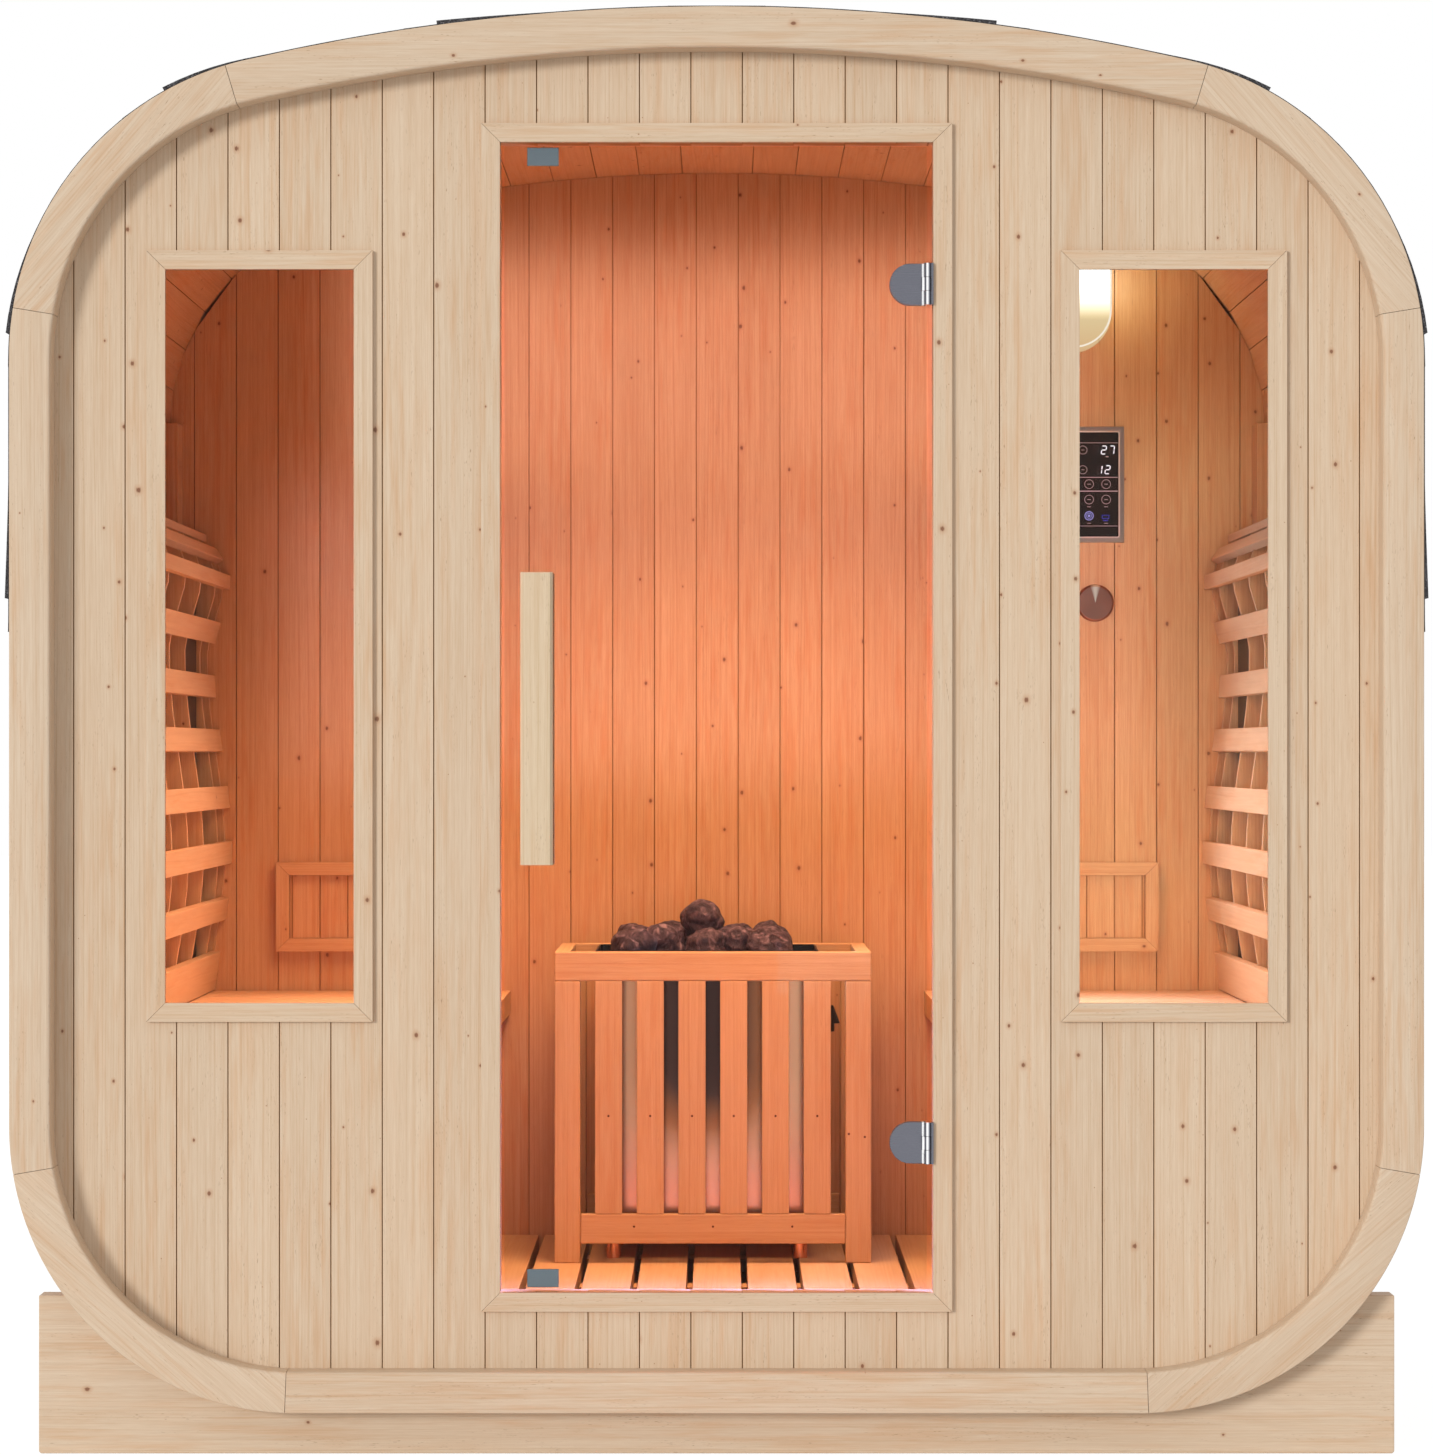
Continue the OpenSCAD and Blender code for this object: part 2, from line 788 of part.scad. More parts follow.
module hinge_leaves() {
    color("gainsboro") {
        hinge_leaf(upper_hinge);
        hinge_leaf(lower_hinge);
    }
}

// Section of the handle's bar, with all four edges chamfered
module bar_section(w, t, c) {
    polygon([[c, 0], [w - c, 0], [w, c], [w, t - c], [w - c, t], [c, t], [0, t - c], [0, c]]);
}

// Pull on one face of the glass: a bar on two round spacers
module pull() {
    x = -door_x + door_gap + handle_in;
    z = door_z0 + handle_z;
    y = leaf_y - handle_off;
    translate([x, y - handle_t, z - handle_l / 2])
        linear_extrude(handle_l) bar_section(handle_w, handle_t, handle_chamfer);
    for (s = [-1, 1])
        translate([x + handle_w / 2, y - over, z + s * spacer_pitch / 2])
            rotate([-90, 0, 0]) cylinder(h = handle_off + over, r = spacer_r, $fn = 32);
}

module door_handle() {
    mid = leaf_y + door_glass_t / 2;
    color("wheat") {
        pull();
        translate([0, mid, 0]) mirror([0, 1, 0]) translate([0, -mid, 0]) pull();
    }
}

module door_catches() {
    x = -door_x + door_gap + catch_in;
    y = leaf_y + door_glass_t;
    color("gray") {
        for (z = [door_z0 + door_gap, door_z1 - door_gap - catch_h])
            block([x, y, z], [x + catch_w, y + catch_t, z + catch_h]);
    }
}

// --- floor and benches ------------------------------------------------------

// Joists cut to the curve of the lower corners, so that they carry every slat
module floor_joists() {
    run = cabin_l - 2 * joist_inset - joist_w;
    color("burlywood") for (i = [0:joist_n - 1])
        across(cabin_y + joist_inset + i * run / (joist_n - 1), joist_w) intersection() {
            cabin_outline();
            translate([-half_w, 0]) square([body_w, floor_top - floor_slat_t]);
        }
}

module floor_slats() {
    z = floor_top - floor_slat_t;
    w = floor_pitch - floor_gap;
    y = cabin_y + floor_end;
    n = floor((half_at(z, stave_t) - wall_fit - w / 2) / floor_pitch);
    color("burlywood") for (i = [-n:n])
        block([i * floor_pitch - w / 2, y, z], [i * floor_pitch + w / 2, -y, floor_top]);
}

module bench_slats() {
    x0 = bench_front + nosing_t;
    x1 = half_at(bench_top - bench_slat_t, stave_t + wall_fit);
    w = (cabin_l - (bench_n + 1) * bench_gap) / bench_n;
    color("burlywood") both_sides() for (i = [0:bench_n - 1]) {
        y = cabin_y + bench_gap + i * (w + bench_gap);
        block([x0, y, bench_top - bench_slat_t], [x1, y + w, bench_top]);
    }
}

module bench_nosings() {
    color("burlywood") both_sides()
        block([bench_front, cabin_y + wall_fit, bench_top - nosing_h],
              [bench_front + nosing_t - wall_fit, -cabin_y - wall_fit, bench_top]);
}

module bench_bearers() {
    z1 = bench_top - bench_slat_t;
    x1 = half_at(z1 - bearer_s, stave_t + wall_fit);
    places = [bench_front + nosing_t, (bench_front + x1) / 2, x1 - bearer_s];
    color("burlywood") both_sides() for (x = places)
        block([x, cabin_y + wall_fit, z1 - bearer_s], [x + bearer_s, -cabin_y - wall_fit, z1]);
}

// --- backrests --------------------------------------------------------------

// Outline of a slat at its place on the curve, grown by a clearance
module slat_section(slat, grow = 0) {
    tilt = atan(slope(back_curve, slat.x));
    translate([cabin_x - along(back_curve, slat.x), bench_top + slat.x])
        rotate(tilt)
            translate([-grow, -slat.y / 2 - grow]) square([back_slat_t + 2 * grow, slat.y + 2 * grow]);
}

module backrest_slats() {
    l = cabin_l - 2 * wall_fit;
    for (slat = back_slats)
        across(cabin_y + wall_fit, l) slat_section(slat);
    across(cabin_y + wall_fit, l)
        translate([cabin_x - back_cap_x, bench_top + back_cap_z])
            square([half_at(bench_top + back_cap_z + back_cap_t, stave_t + wall_fit) - cabin_x + back_cap_x,
                    back_cap_t]);
}

module backrest_slats_right() {
    color("sandybrown") backrest_slats();
}

module backrest_slats_left() {
    color("sandybrown") mirror([1, 0, 0]) backrest_slats();
}

// A rib: from the side wall out to the curve, with housings for the slats
module rib_section() {
    h = back_cap_z - housing_fit;
    n = 24;
    front = [for (i = [0:n]) let (z = i * h / n)
        [cabin_x - along(back_curve, z) + back_slat_t - housing, bench_top + z]];
    m = 4;
    back = [for (i = [m:-1:0]) let (z = bench_top + i * h / m) [half_at(z, stave_t + wall_fit), z]];
    difference() {
        polygon(concat(front, back));
        for (slat = back_slats) slat_section(slat, housing_fit);
    }
}

function rib_places() = let (n = floor((cabin_l - rib_first - rib_t) / rib_pitch)) concat(
    [cabin_y + wall_fit, -cabin_y - wall_fit - rib_t],
    [for (i = [0:n - 1]) -cabin_y - rib_first - i * rib_pitch - rib_t / 2]);

module backrest_ribs() {
    color("burlywood") both_sides() for (y = rib_places())
        across(y, rib_t) rib_section();
}

// Heat emitters stand between two ribs, level with the curve's hollow
module heat_emitters() {
    y = rib_places()[3] + rib_t + over;
    x = cabin_x - emitter_x + housing_fit;
    z = bench_top + emitter_rise;
    color("black") both_sides()
        block([x, y, z], [x + emitter_t, y + emitter_w, z + emitter_h]);
}

// Battens in the back corners, in front of the flat staves
module corner_battens() {
    off = stave_t + wall_fit;
    z0 = bench_top + back_cap_z + back_cap_t + wall_fit;
    z1 = z0 + batten_h;
    x1 = min(half_at(z0, off), half_at(z1, off)) - stave_sag;
    color("burlywood") both_sides()
        block([x1 - batten_t, -cabin_y - wall_fit - batten_w, z0], [x1, -cabin_y - wall_fit, z1]);
}

// --- stove and guard --------------------------------------------------------

// Four rails of the bottom ring, between the posts
module guard_bottom(z, h) {
    x = guard_w / 2;
    p = guard_post + guard_fit;
    for (y = [guard_y0, guard_y1 - guard_t])
        block([-x + p, y, z], [x - p, y + guard_t, z + h]);
    both_sides() block([x - guard_t, guard_y0 + p, z], [x, guard_y1 - p, z + h]);
}

// Four rails of the top ring, over the posts: front and back ones full width
module guard_top_ring(z, h) {
    x = guard_w / 2;
    for (y = [guard_y0, guard_y1 - guard_top_t])
        block([-x, y, z], [x, y + guard_top_t, z + h]);
    p = guard_top_t + guard_fit;
    both_sides() block([x - guard_top_t, guard_y0 + p, z], [x, guard_y1 - p, z + h]);
}

module guard_frame() {
    x = guard_w / 2;
    z = guard_top - guard_top_h;
    color("burlywood") translate([guard_x, 0, 0]) {
        both_sides() for (y = [guard_y0, guard_y1 - guard_post])
            block([x - guard_post, y, floor_top], [x, y + guard_post, z - guard_fit]);
        guard_top_ring(z, guard_top_h);
        guard_bottom(floor_top + guard_leg, guard_foot_rail);
    }
}

// Slats between the rails, evenly spaced
module guard_slats() {
    x = guard_w / 2 - guard_post;
    z0 = floor_top + guard_leg + guard_foot_rail + guard_fit;
    z1 = guard_top - guard_top_h - guard_fit;
    gap = (2 * x - guard_front_n * guard_slat_w) / (guard_front_n + 1);
    run = guard_d - 2 * guard_post;
    side_gap = (run - guard_side_n * guard_slat_w) / (guard_side_n + 1);
    color("burlywood") translate([guard_x, 0, 0]) {
        for (i = [0:guard_front_n - 1]) {
            s = -x + gap + i * (guard_slat_w + gap);
            for (y = [guard_y0, guard_y1 - guard_t])
                block([s, y, z0], [s + guard_slat_w, y + guard_t, z1]);
        }
        both_sides() for (i = [0:guard_side_n - 1]) {
            y = guard_y0 + guard_post + side_gap + i * (guard_slat_w + side_gap);
            block([guard_w / 2 - guard_t, y, z0], [guard_w / 2, y + guard_slat_w, z1]);
        }
    }
}

// Rectangle with rounded corners, centred, x and y being its half sizes
module rounded(x, y, r) {
    square([2 * x, 2 * (y - r)], center = true);
    square([2 * (x - r), 2 * y], center = true);
    for (sx = [-1, 1], sy = [-1, 1])
        translate([sx * (x - r), sy * (y - r)]) circle(r, $fn = 48);
}

// Casing on four feet, with the cap of its wiring on the right side
module stove_body() {
    x = stove_w / 2 - casing_in;
    y = stove_d / 2 - casing_in;
    z = stove_top - tray_h;
    color("silver") translate([stove_off, stove_y, 0]) union() {
        translate([0, 0, floor_top + stove_foot])
            linear_extrude(z - floor_top - stove_foot) rounded(x, y, casing_r);
        for (sx = [-1, 1], sy = [-1, 1])
            translate([sx * (stove_w / 2 - foot_in), sy * (stove_d / 2 - foot_in), floor_top])
                cylinder(h = stove_foot + over, r = foot_r, $fn = 32);
        translate([x + cap_r - over, 0, stove_top - cap_drop - cap_h]) {
            cylinder(h = cap_h, r1 = cap_r, r2 = cap_neck_r, $fn = 48);
            translate([0, 0, -cap_stub_h]) cylinder(h = cap_stub_h + over, r = cap_stub_r, $fn = 48);
            block([-cap_r, -cap_stub_r / 2, 0], [0, cap_stub_r / 2, cap_h / 2]);
        }
    }
}

module stone_tray() {
    x = stove_w / 2;
    y = stove_d / 2;
    t = tray_t;
    color("black") translate([stove_off, stove_y, 0]) difference() {
        block([-x, -y, stove_top - tray_h], [x, y, stove_top]);
        block([-x + t, -y + t, stove_top - tray_h + t], [x - t, y - t, stove_top + over]);
    }
}

// A broken stone standing on z = 0: the hull of points on a spiral round an egg,
// each drawn in towards the middle by a share of its own
module stone(seed, h) {
    n = 20;
    golden = 137.5;
    chip = 0.16;
    dice = rands(0, 1, n + 1, seed);
    points = [for (i = [0:n - 1])
        let (lift = 1 - (2 * i + 1) / n, k = 1 - chip * dice[i], a = i * golden + 360 * dice[n])
        let (c = k * (stone_s / 2 - over) * sqrt(1 - lift * lift))
        [c * cos(a), c * sin(a), k * lift * h / 2]];
    foot = min([for (p = points) p.z]);
    translate([0, 0, -foot]) hull() for (p = points) translate(p) cube(over);
}

// Stones in staggered columns on the tray's floor, and one more on top of them
module stones() {
    first_seed = 100;
    mid = (stone_cols - 1) / 2;
    color("dimgray") translate([stove_off + stone_off, stove_y, stove_top - tray_h + tray_t + wall_fit]) {
        for (i = [0:stone_cols - 1]) {
            last = stone_rows - 1 - i % 2;
            for (j = [0:last])
                translate([(i - mid) * stone_col, (j - last / 2) * stone_row, 0])
                    stone(first_seed + i * stone_rows + j, stone_h);
        }
        translate([0, -stone_row / 2, stone_top]) stone(first_seed - 1, stone_top_h);
    }
}

// --- wall fittings ----------------------------------------------------------

// Glass shade on a wall plate that is a little larger all round
module wall_lamp() {
    x = cabin_x - lamp_side;
    z0 = ceiling(x + lamp_w / 2) - lamp_under - lamp_h;
    d = lamp_d - lamp_plate;
    color("ivory") {
        across(back_face - lamp_plate, lamp_plate - wall_fit) lamp_outline(x, z0, lamp_w / 2);
        across(back_face - lamp_d, d - wall_fit) lamp_outline(x, z0, lamp_w / 2 - lamp_lip);
    }
}

module lamp_outline(x, z0, r) {
    translate([x, z0 + lamp_w / 2]) circle(r, $fn = 64);
    translate([x, z0 + lamp_h - lamp_w / 2]) circle(r, $fn = 64);
    translate([x - r, z0 + lamp_w / 2]) square([2 * r, lamp_h - lamp_w]);
}

module control_panel() {
    x0 = cabin_x - panel_side - panel_w / 2;
    x1 = x0 + panel_w;
    z0 = floor_top + panel_z;
    y = back_face - panel_d;
    rim = panel_rim;
    color("darkgray") difference() {
        block([x0, y, z0], [x1, back_face - wall_fit, z0 + panel_h]);
        block([x0 + rim, y - over, z0 + rim], [x1 - rim, y + panel_face, z0 + panel_h - rim]);
    }
}

// Disc with its front edge turned down
module round_vent() {
    r = vent_dia / 2;
    e = vent_d / 4;
    color("silver") translate([cabin_x - vent_side, back_face - wall_fit, floor_top + vent_z])
        rotate([90, 0, 0]) union() {
            cylinder(h = vent_d - e, r = r, $fn = 64);
            translate([0, 0, vent_d - e]) cylinder(h = e, r1 = r, r2 = r - e, $fn = 64);
        }
}

// Mitred frames low on the back wall
module low_panel_frames() {
    x1 = cabin_x - low_side;
    x0 = x1 - low_w;
    z0 = bench_top + low_rise;
    z1 = z0 + low_h;
    y = back_face - low_t;
    t = low_t - wall_fit;
    g = slab_gap;
    f = low_frame;
    color("sandybrown") both_sides() {
        across(y, t) polygon([[x0 + g, z1], [x1 - g, z1], [x1 - f - g, z1 - f], [x0 + f + g, z1 - f]]);
        across(y, t) polygon([[x0 + g, z0], [x1 - g, z0], [x1 - f - g, z0 + f], [x0 + f + g, z0 + f]]);
        across(y, t) polygon([[x0, z0], [x0, z1], [x0 + f, z1 - f], [x0 + f, z0 + f]]);
        across(y, t) polygon([[x1, z0], [x1, z1], [x1 - f, z1 - f], [x1 - f, z0 + f]]);
    }
}

module low_panel_boards() {
    x1 = cabin_x - low_side - low_frame - slab_gap;
    x0 = x1 - low_w + 2 * (low_frame + slab_gap);
    z0 = bench_top + low_rise + low_frame + slab_gap;
    z1 = z0 + low_h - 2 * (low_frame + slab_gap);
    color("burlywood") both_sides()
        block([x0, back_face - low_board_t, z0], [x1, back_face - wall_fit, z1]);
}

// --- shingles ---------------------------------------------------------------

// Length along the outline from the roof's middle to the end of each arc
roof_l = roof_r * (90 - roof_a) * PI / 180;
shoulder_l = shoulder_r * roof_a * PI / 180;

// Point at length s from the roof's middle, lifted off the outline by up
function on_outline(s, up) =
    s < roof_l ? roof_c + (roof_r + up) * unit(90 - s / roof_r * 180 / PI)
    : s < roof_l + shoulder_l
        ? shoulder_c + (shoulder_r + up) * unit(roof_a - (s - roof_l) / shoulder_r * 180 / PI)
    : [half_w + up, shoulder_c.y - (s - roof_l - shoulder_l)];

// Lower edges of the courses, from the crown sheet down, as lengths along the outline
butts = concat(
    [for (i = [0:roof_courses]) crown_l + i * course],
    [for (i = [1:corner_courses]) crown_l + roof_courses * course + i * corner_course],
    [for (i = [1:side_courses])
        crown_l + (roof_courses + i) * course + corner_courses * corner_course]);

// Thickness at the lower edge of course i: notches and tabs meet the ends in turn
function butt(i) = i % 2 == 0 ? notch_t : butt_t;

// Points of a course from s0 down to s1, on its face or on its underside
function course_face(s0, s1, t) =
    [for (i = [0:6]) on_outline(s0 + i * (s1 - s0) / 6, head_t + (t - head_t) * i / 6)];
function course_back(s0, s1) =
    [for (i = [6:-1:0]) on_outline(s0 + i * (s1 - s0) / 6, shingle_fit)];

module shingle_sheet(points) {
    across(front_y + shingle_in, body_d - 2 * shingle_in) polygon(points);
}

module shingle_side() {
    for (i = [1:len(butts) - 1]) {
        s0 = butts[i - 1] + slab_gap;
        shingle_sheet(concat(course_face(s0, butts[i], butt(i)), course_back(s0, butts[i])));
    }
}

module shingles_right() {
    color("dimgray") shingle_side();
}

// The left side, with the crown sheet that lies over both
module shingles_left() {
    face = course_face(over, crown_l, butt(0));
    back = course_back(over, crown_l);
    color("dimgray") {
        mirror([1, 0, 0]) shingle_side();
        shingle_sheet(concat(flipped(face), face, back, flipped(back)));
    }
}

// --- cradles ----------------------------------------------------------------

module cradle_section() {
    x = half_w - cradle_side;
    c = cradle_chamfer;
    half = half_outline(-wall_fit);
    difference() {
        polygon([[-x + c, 0], [x - c, 0], [x, c], [x, cradle_h], [-x, cradle_h], [-x, c]]);
        polygon(concat(half, flipped(half)));
    }
}

module cradles() {
    color("burlywood") both_ends()
        across(wall_y + cradle_in, cradle_t) cradle_section();
}

// --- assembly ---------------------------------------------------------------

front_ring();
back_ring();
roof_staves();
shoulder_staves_left();
shoulder_staves_right();
side_staves_left();
side_staves_right();
haunch_staves_left();
haunch_staves_right();
belly_staves();
front_wall_left();
front_wall_right();
front_wall_over_door();
front_wall_sill();
back_wall();
window_casings();
window_glass();
door_casing();
hinge_leaves();
door_glass();
hinge_plates();
door_handle();
door_catches();
floor_slats();
floor_joists();
bench_slats();
bench_nosings();
bench_bearers();
backrest_slats_left();
backrest_slats_right();
backrest_ribs();
heat_emitters();
corner_battens();
guard_frame();
guard_slats();
stove_body();
stone_tray();
stones();
wall_lamp();
control_panel();
round_vent();
low_panel_frames();
low_panel_boards();
shingles_left();
shingles_right();
cradles();
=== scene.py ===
"""Looks of a stave-built cube sauna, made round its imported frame.

Lengths are in metres, but for the marks on the panel and the nails of the guard, in millimetres.
"""

import math

import bmesh
import bpy
import numpy as np
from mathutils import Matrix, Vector


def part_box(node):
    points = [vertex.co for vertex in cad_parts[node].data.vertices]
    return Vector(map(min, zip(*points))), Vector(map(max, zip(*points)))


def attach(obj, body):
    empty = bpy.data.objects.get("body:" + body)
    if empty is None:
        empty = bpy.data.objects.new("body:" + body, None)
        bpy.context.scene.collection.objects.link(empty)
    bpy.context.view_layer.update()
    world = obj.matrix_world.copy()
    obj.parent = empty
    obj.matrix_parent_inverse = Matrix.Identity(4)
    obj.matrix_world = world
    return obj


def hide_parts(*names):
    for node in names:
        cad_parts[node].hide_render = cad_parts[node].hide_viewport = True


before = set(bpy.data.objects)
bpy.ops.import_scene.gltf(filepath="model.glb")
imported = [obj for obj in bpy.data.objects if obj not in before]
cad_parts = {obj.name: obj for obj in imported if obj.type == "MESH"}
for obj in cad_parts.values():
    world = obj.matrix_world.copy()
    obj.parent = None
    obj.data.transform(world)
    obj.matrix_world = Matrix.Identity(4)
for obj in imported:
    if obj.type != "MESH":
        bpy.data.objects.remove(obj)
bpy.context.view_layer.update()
dice = np.random.default_rng(11)

MM = 0.001

# ---------------------------------------------------------------- sizes

# The cabin's outline: the roof's arc and a tangent arc at each corner, with flat sides and belly
ROOF_R, SHOULDER_R, HAUNCH_R = 2.956, 0.430, 0.405
STAVE_T = 40 * MM
BOARD_W = 73.2 * MM
RIDGE_W = 122 * MM
WALL_FIT = 0.3 * MM

ring_low, ring_high = (np.array(v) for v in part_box("front_ring"))
HALF_W = ring_high[0]
BODY_BOTTOM, BODY_TOP = ring_low[2], ring_high[2]
RING_FRONT, RING_BACK = ring_low[1], ring_high[1]
RING_W = 58 * MM
sill_low, sill_high = (np.array(v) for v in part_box("front_wall_sill"))
WALL_FRONT, WALL_BACK = sill_low[1], sill_high[1]
door_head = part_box("front_wall_over_door")[0][2]


# ---------------------------------------------------------------- outline

def unit(degrees):
    """Points of the unit circle at these directions."""
    a = np.radians(degrees)
    return np.stack([np.cos(a), np.sin(a)], -1)


def direction(v):
    return math.degrees(math.atan2(v[1], v[0]))


ROOF_C = np.array([0, BODY_TOP - ROOF_R])
shoulder_x = HALF_W - SHOULDER_R
SHOULDER_C = ROOF_C + [shoulder_x, math.sqrt((ROOF_R - SHOULDER_R) ** 2 - shoulder_x ** 2)]
HAUNCH_C = np.array([HALF_W - HAUNCH_R, BODY_BOTTOM + HAUNCH_R])
ROOF_A = direction(SHOULDER_C - ROOF_C)
RIDGE_A = math.degrees(math.asin(RIDGE_W / 2 / (ROOF_R - STAVE_T)))
SIDE_Z = np.linspace(SHOULDER_C[1], HAUNCH_C[1], round((SHOULDER_C[1] - HAUNCH_C[1]) / BOARD_W) + 1)


def joint_angles(radius, a0, a1):
    """Directions of the joints between staves on an arc, their inner faces about one board wide."""
    n = max(1, round(abs(math.radians(a1 - a0)) * (radius - STAVE_T) / BOARD_W))
    return np.linspace(a0, a1, n + 1)


ROOF_JOINTS = joint_angles(ROOF_R, 90 - RIDGE_A, ROOF_A)
SHOULDER_JOINTS = joint_angles(SHOULDER_R, ROOF_A, 0)
HAUNCH_JOINTS = joint_angles(HAUNCH_R, 0, -90)


def half_outline(inset):
    """Right half of the outline from beside the ridge to the belly, set in by inset."""
    return np.concatenate([
        ROOF_C + (ROOF_R - inset) * unit(ROOF_JOINTS),
        SHOULDER_C + (SHOULDER_R - inset) * unit(SHOULDER_JOINTS[1:]),
        HAUNCH_C + (HAUNCH_R - inset) * unit(HAUNCH_JOINTS)])


ROOF_L = ROOF_R * math.radians(90 - ROOF_A)
SHOULDER_L = SHOULDER_R * math.radians(ROOF_A)


def on_outline(s, up):
    """Point at length s along the right half of the outline, lifted by up: two arcs, then the flat side."""
    roof = ROOF_C + (ROOF_R + up)[..., None] * unit(90 - np.degrees(s / ROOF_R))
    turned = np.degrees((s - ROOF_L) / SHOULDER_R)
    shoulder = SHOULDER_C + (SHOULDER_R + up)[..., None] * unit(ROOF_A - turned)
    side = np.stack([HALF_W + up, SHOULDER_C[1] + ROOF_L + SHOULDER_L - s], -1)
    on_roof = (s < ROOF_L)[..., None]
    on_shoulder = (s < ROOF_L + SHOULDER_L)[..., None]
    return np.where(on_roof, roof, np.where(on_shoulder, shoulder, side))


# ---------------------------------------------------------------- mesh helpers

def new_piece(name, verts, faces, material, body, slot, *nodes, smooth=False):
    """A mesh of these points and faces, riding on a body in the place of some CAD nodes."""
    mesh = bpy.data.meshes.new(name)
    mesh.from_pydata(np.asarray(verts, float).reshape(-1, 3).tolist(), [], faces)
    mesh.materials.append(material)
    return enter(name, mesh, body, slot, *nodes, smooth=smooth)


def enter(name, mesh, body, slot, *nodes, smooth=False):
    mesh.polygons.foreach_set("use_smooth", np.full(len(mesh.polygons), smooth))
    piece = bpy.data.objects.new(name, mesh)
    bpy.context.scene.collection.objects.link(piece)
    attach(piece, body)
    if nodes:
        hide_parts(*nodes)
    return piece


def lay_grain(mesh, grain, board, joint=None):
    """Stores where each point lies in its board, across, through and along, the board's own number,
    and 1 for the points down in a joint."""
    mesh.attributes.new("grain", "FLOAT_VECTOR", "POINT").data.foreach_set(
        "vector", np.asarray(grain, np.float32).ravel())
    mesh.attributes.new("board", "FLOAT", "POINT").data.foreach_set(
        "value", np.asarray(board, np.float32).ravel())
    if joint is not None:
        mesh.attributes.new("joint", "FLOAT", "POINT").data.foreach_set(
            "value", np.asarray(joint, np.float32).ravel())


def sticks(count):
    """A place in the timber and a number from 0 to 1 for each of count boards."""
    return dice.uniform(0, 40, (count, 3)), dice.uniform(0, 1, count)


def loop_faces(rings, n, closed=False):
    """Quads between neighbouring rings of n points, with n-sided caps unless it is closed."""
    i = np.arange(rings if closed else rings - 1)[:, None] * n
    j = np.arange(n)[None]
    k = (j + 1) % n
    up = (i + n) % (rings * n)
    quads = np.stack([i + j, i + k, up + k, up + j], -1).reshape(-1, 4).tolist()
    if closed:
        return quads
    return quads + [list(range(n))[::-1], list(range((rings - 1) * n, rings * n))]


def many(faces, count, size):
    """The same faces for count copies of a shape that has size points."""
    return [[p + c * size for p in face] for c in range(count) for face in faces]


def prisms(name, loops, local, start, end, board, place, material, body, slot, *nodes, in_joint):
    """Sticks of any section: each closed loop, given in its plane, is carried straight from start to end.

    loops and local are (count, n, 2): the plane's coordinates, and across and through in the timber.
    start and end may differ from point to point of a loop, which cuts the stick's end on the slant.
    """
    count, n = loops.shape[:2]
    along = np.stack(np.broadcast_arrays(start, end), 1).reshape(-1, 2, n) if np.ndim(start) > 1 else \
        np.broadcast_to(np.array([start, end])[None, :, None], (count, 2, n))
    flat = np.repeat(loops[:, None], 2, 1)
    verts = place(flat[..., 0], flat[..., 1], along)
    kinds = int(board.max()) + 1
    offset, number = sticks(kinds)
    grain = np.concatenate([np.repeat(local[:, None], 2, 1), along[..., None]], -1)
    grain = grain + offset[board][:, None, None]
    piece = new_piece(name, verts, many(loop_faces(2, n), count, 2 * n), material, body, slot, *nodes)
    lay_grain(piece.data, grain, np.broadcast_to(number[board][:, None, None], (count, 2, n)),
              np.repeat(in_joint[:, None], 2, 1))
    outward(piece.data)
    return piece


def outward(mesh):
    """Turns every face outwards."""
    bm = bmesh.new()
    bm.from_mesh(mesh)
    bmesh.ops.recalc_face_normals(bm, faces=bm.faces)
    bm.to_mesh(mesh)
    bm.free()


ARRIS = 0.6 * MM
JOINT_GAP = 0.9 * MM
JOINT_DEEP = 9 * MM
IN_JOINT = np.array([0, 1, 1, 1, 1, 1, 1, 0])


def board_loop(a, b, c, d, left, right):
    """Section of a tongued board between four corners, its own across and through, and 1 down in its joints.

    The outer face runs from a to b and the inner one from c to d. At depth y the sides lie on the
    straight lines a-d and b-c, drawn in by half the joint's gap, and by the arris at the faces.
    left and right are 1 at a joint and 0 where the section only stops.
    """
    a, b, c, d = (np.atleast_2d(p) for p in (a, b, c, d))
    wide = np.linalg.norm(b - a, axis=1, keepdims=True)
    u = (b - a) / wide
    t = np.linalg.norm((d + c - a - b) / 2, axis=1, keepdims=True)
    depth = np.array([0, ARRIS, JOINT_DEEP, JOINT_DEEP, -JOINT_DEEP, -JOINT_DEEP, -ARRIS, 0])
    draw = JOINT_GAP / 2 * np.array([1, 1, 1, 0.05, 0.05, 1, 1, 1])
    draw = draw + ARRIS * np.array([1, 0, 0, 0, 0, 0, 0, 1])
    share = (np.where(np.arange(8) < 4, depth, t + depth) / t)[..., None]
    left = np.broadcast_to(left, (len(a),))[:, None, None]
    right = np.broadcast_to(right, (len(a),))[:, None, None]
    down_right = b[:, None] + (c - b)[:, None] * share - u[:, None] * draw[:, None] * right
    down_left = a[:, None] + (d - a)[:, None] * share + u[:, None] * draw[:, None] * left
    loop = np.concatenate([down_right, down_left[:, ::-1]], 1)
    middle = ((a + b) / 2)[:, None]
    across = ((loop - middle) * u[:, None]).sum(-1)
    normal = np.stack([-u[:, 1], u[:, 0]], -1)[:, None]
    through = ((loop - middle) * normal).sum(-1)
    in_joint = np.concatenate([IN_JOINT * right[:, 0], IN_JOINT * left[:, 0]], 1)
    return loop, np.stack([across, through], -1), in_joint


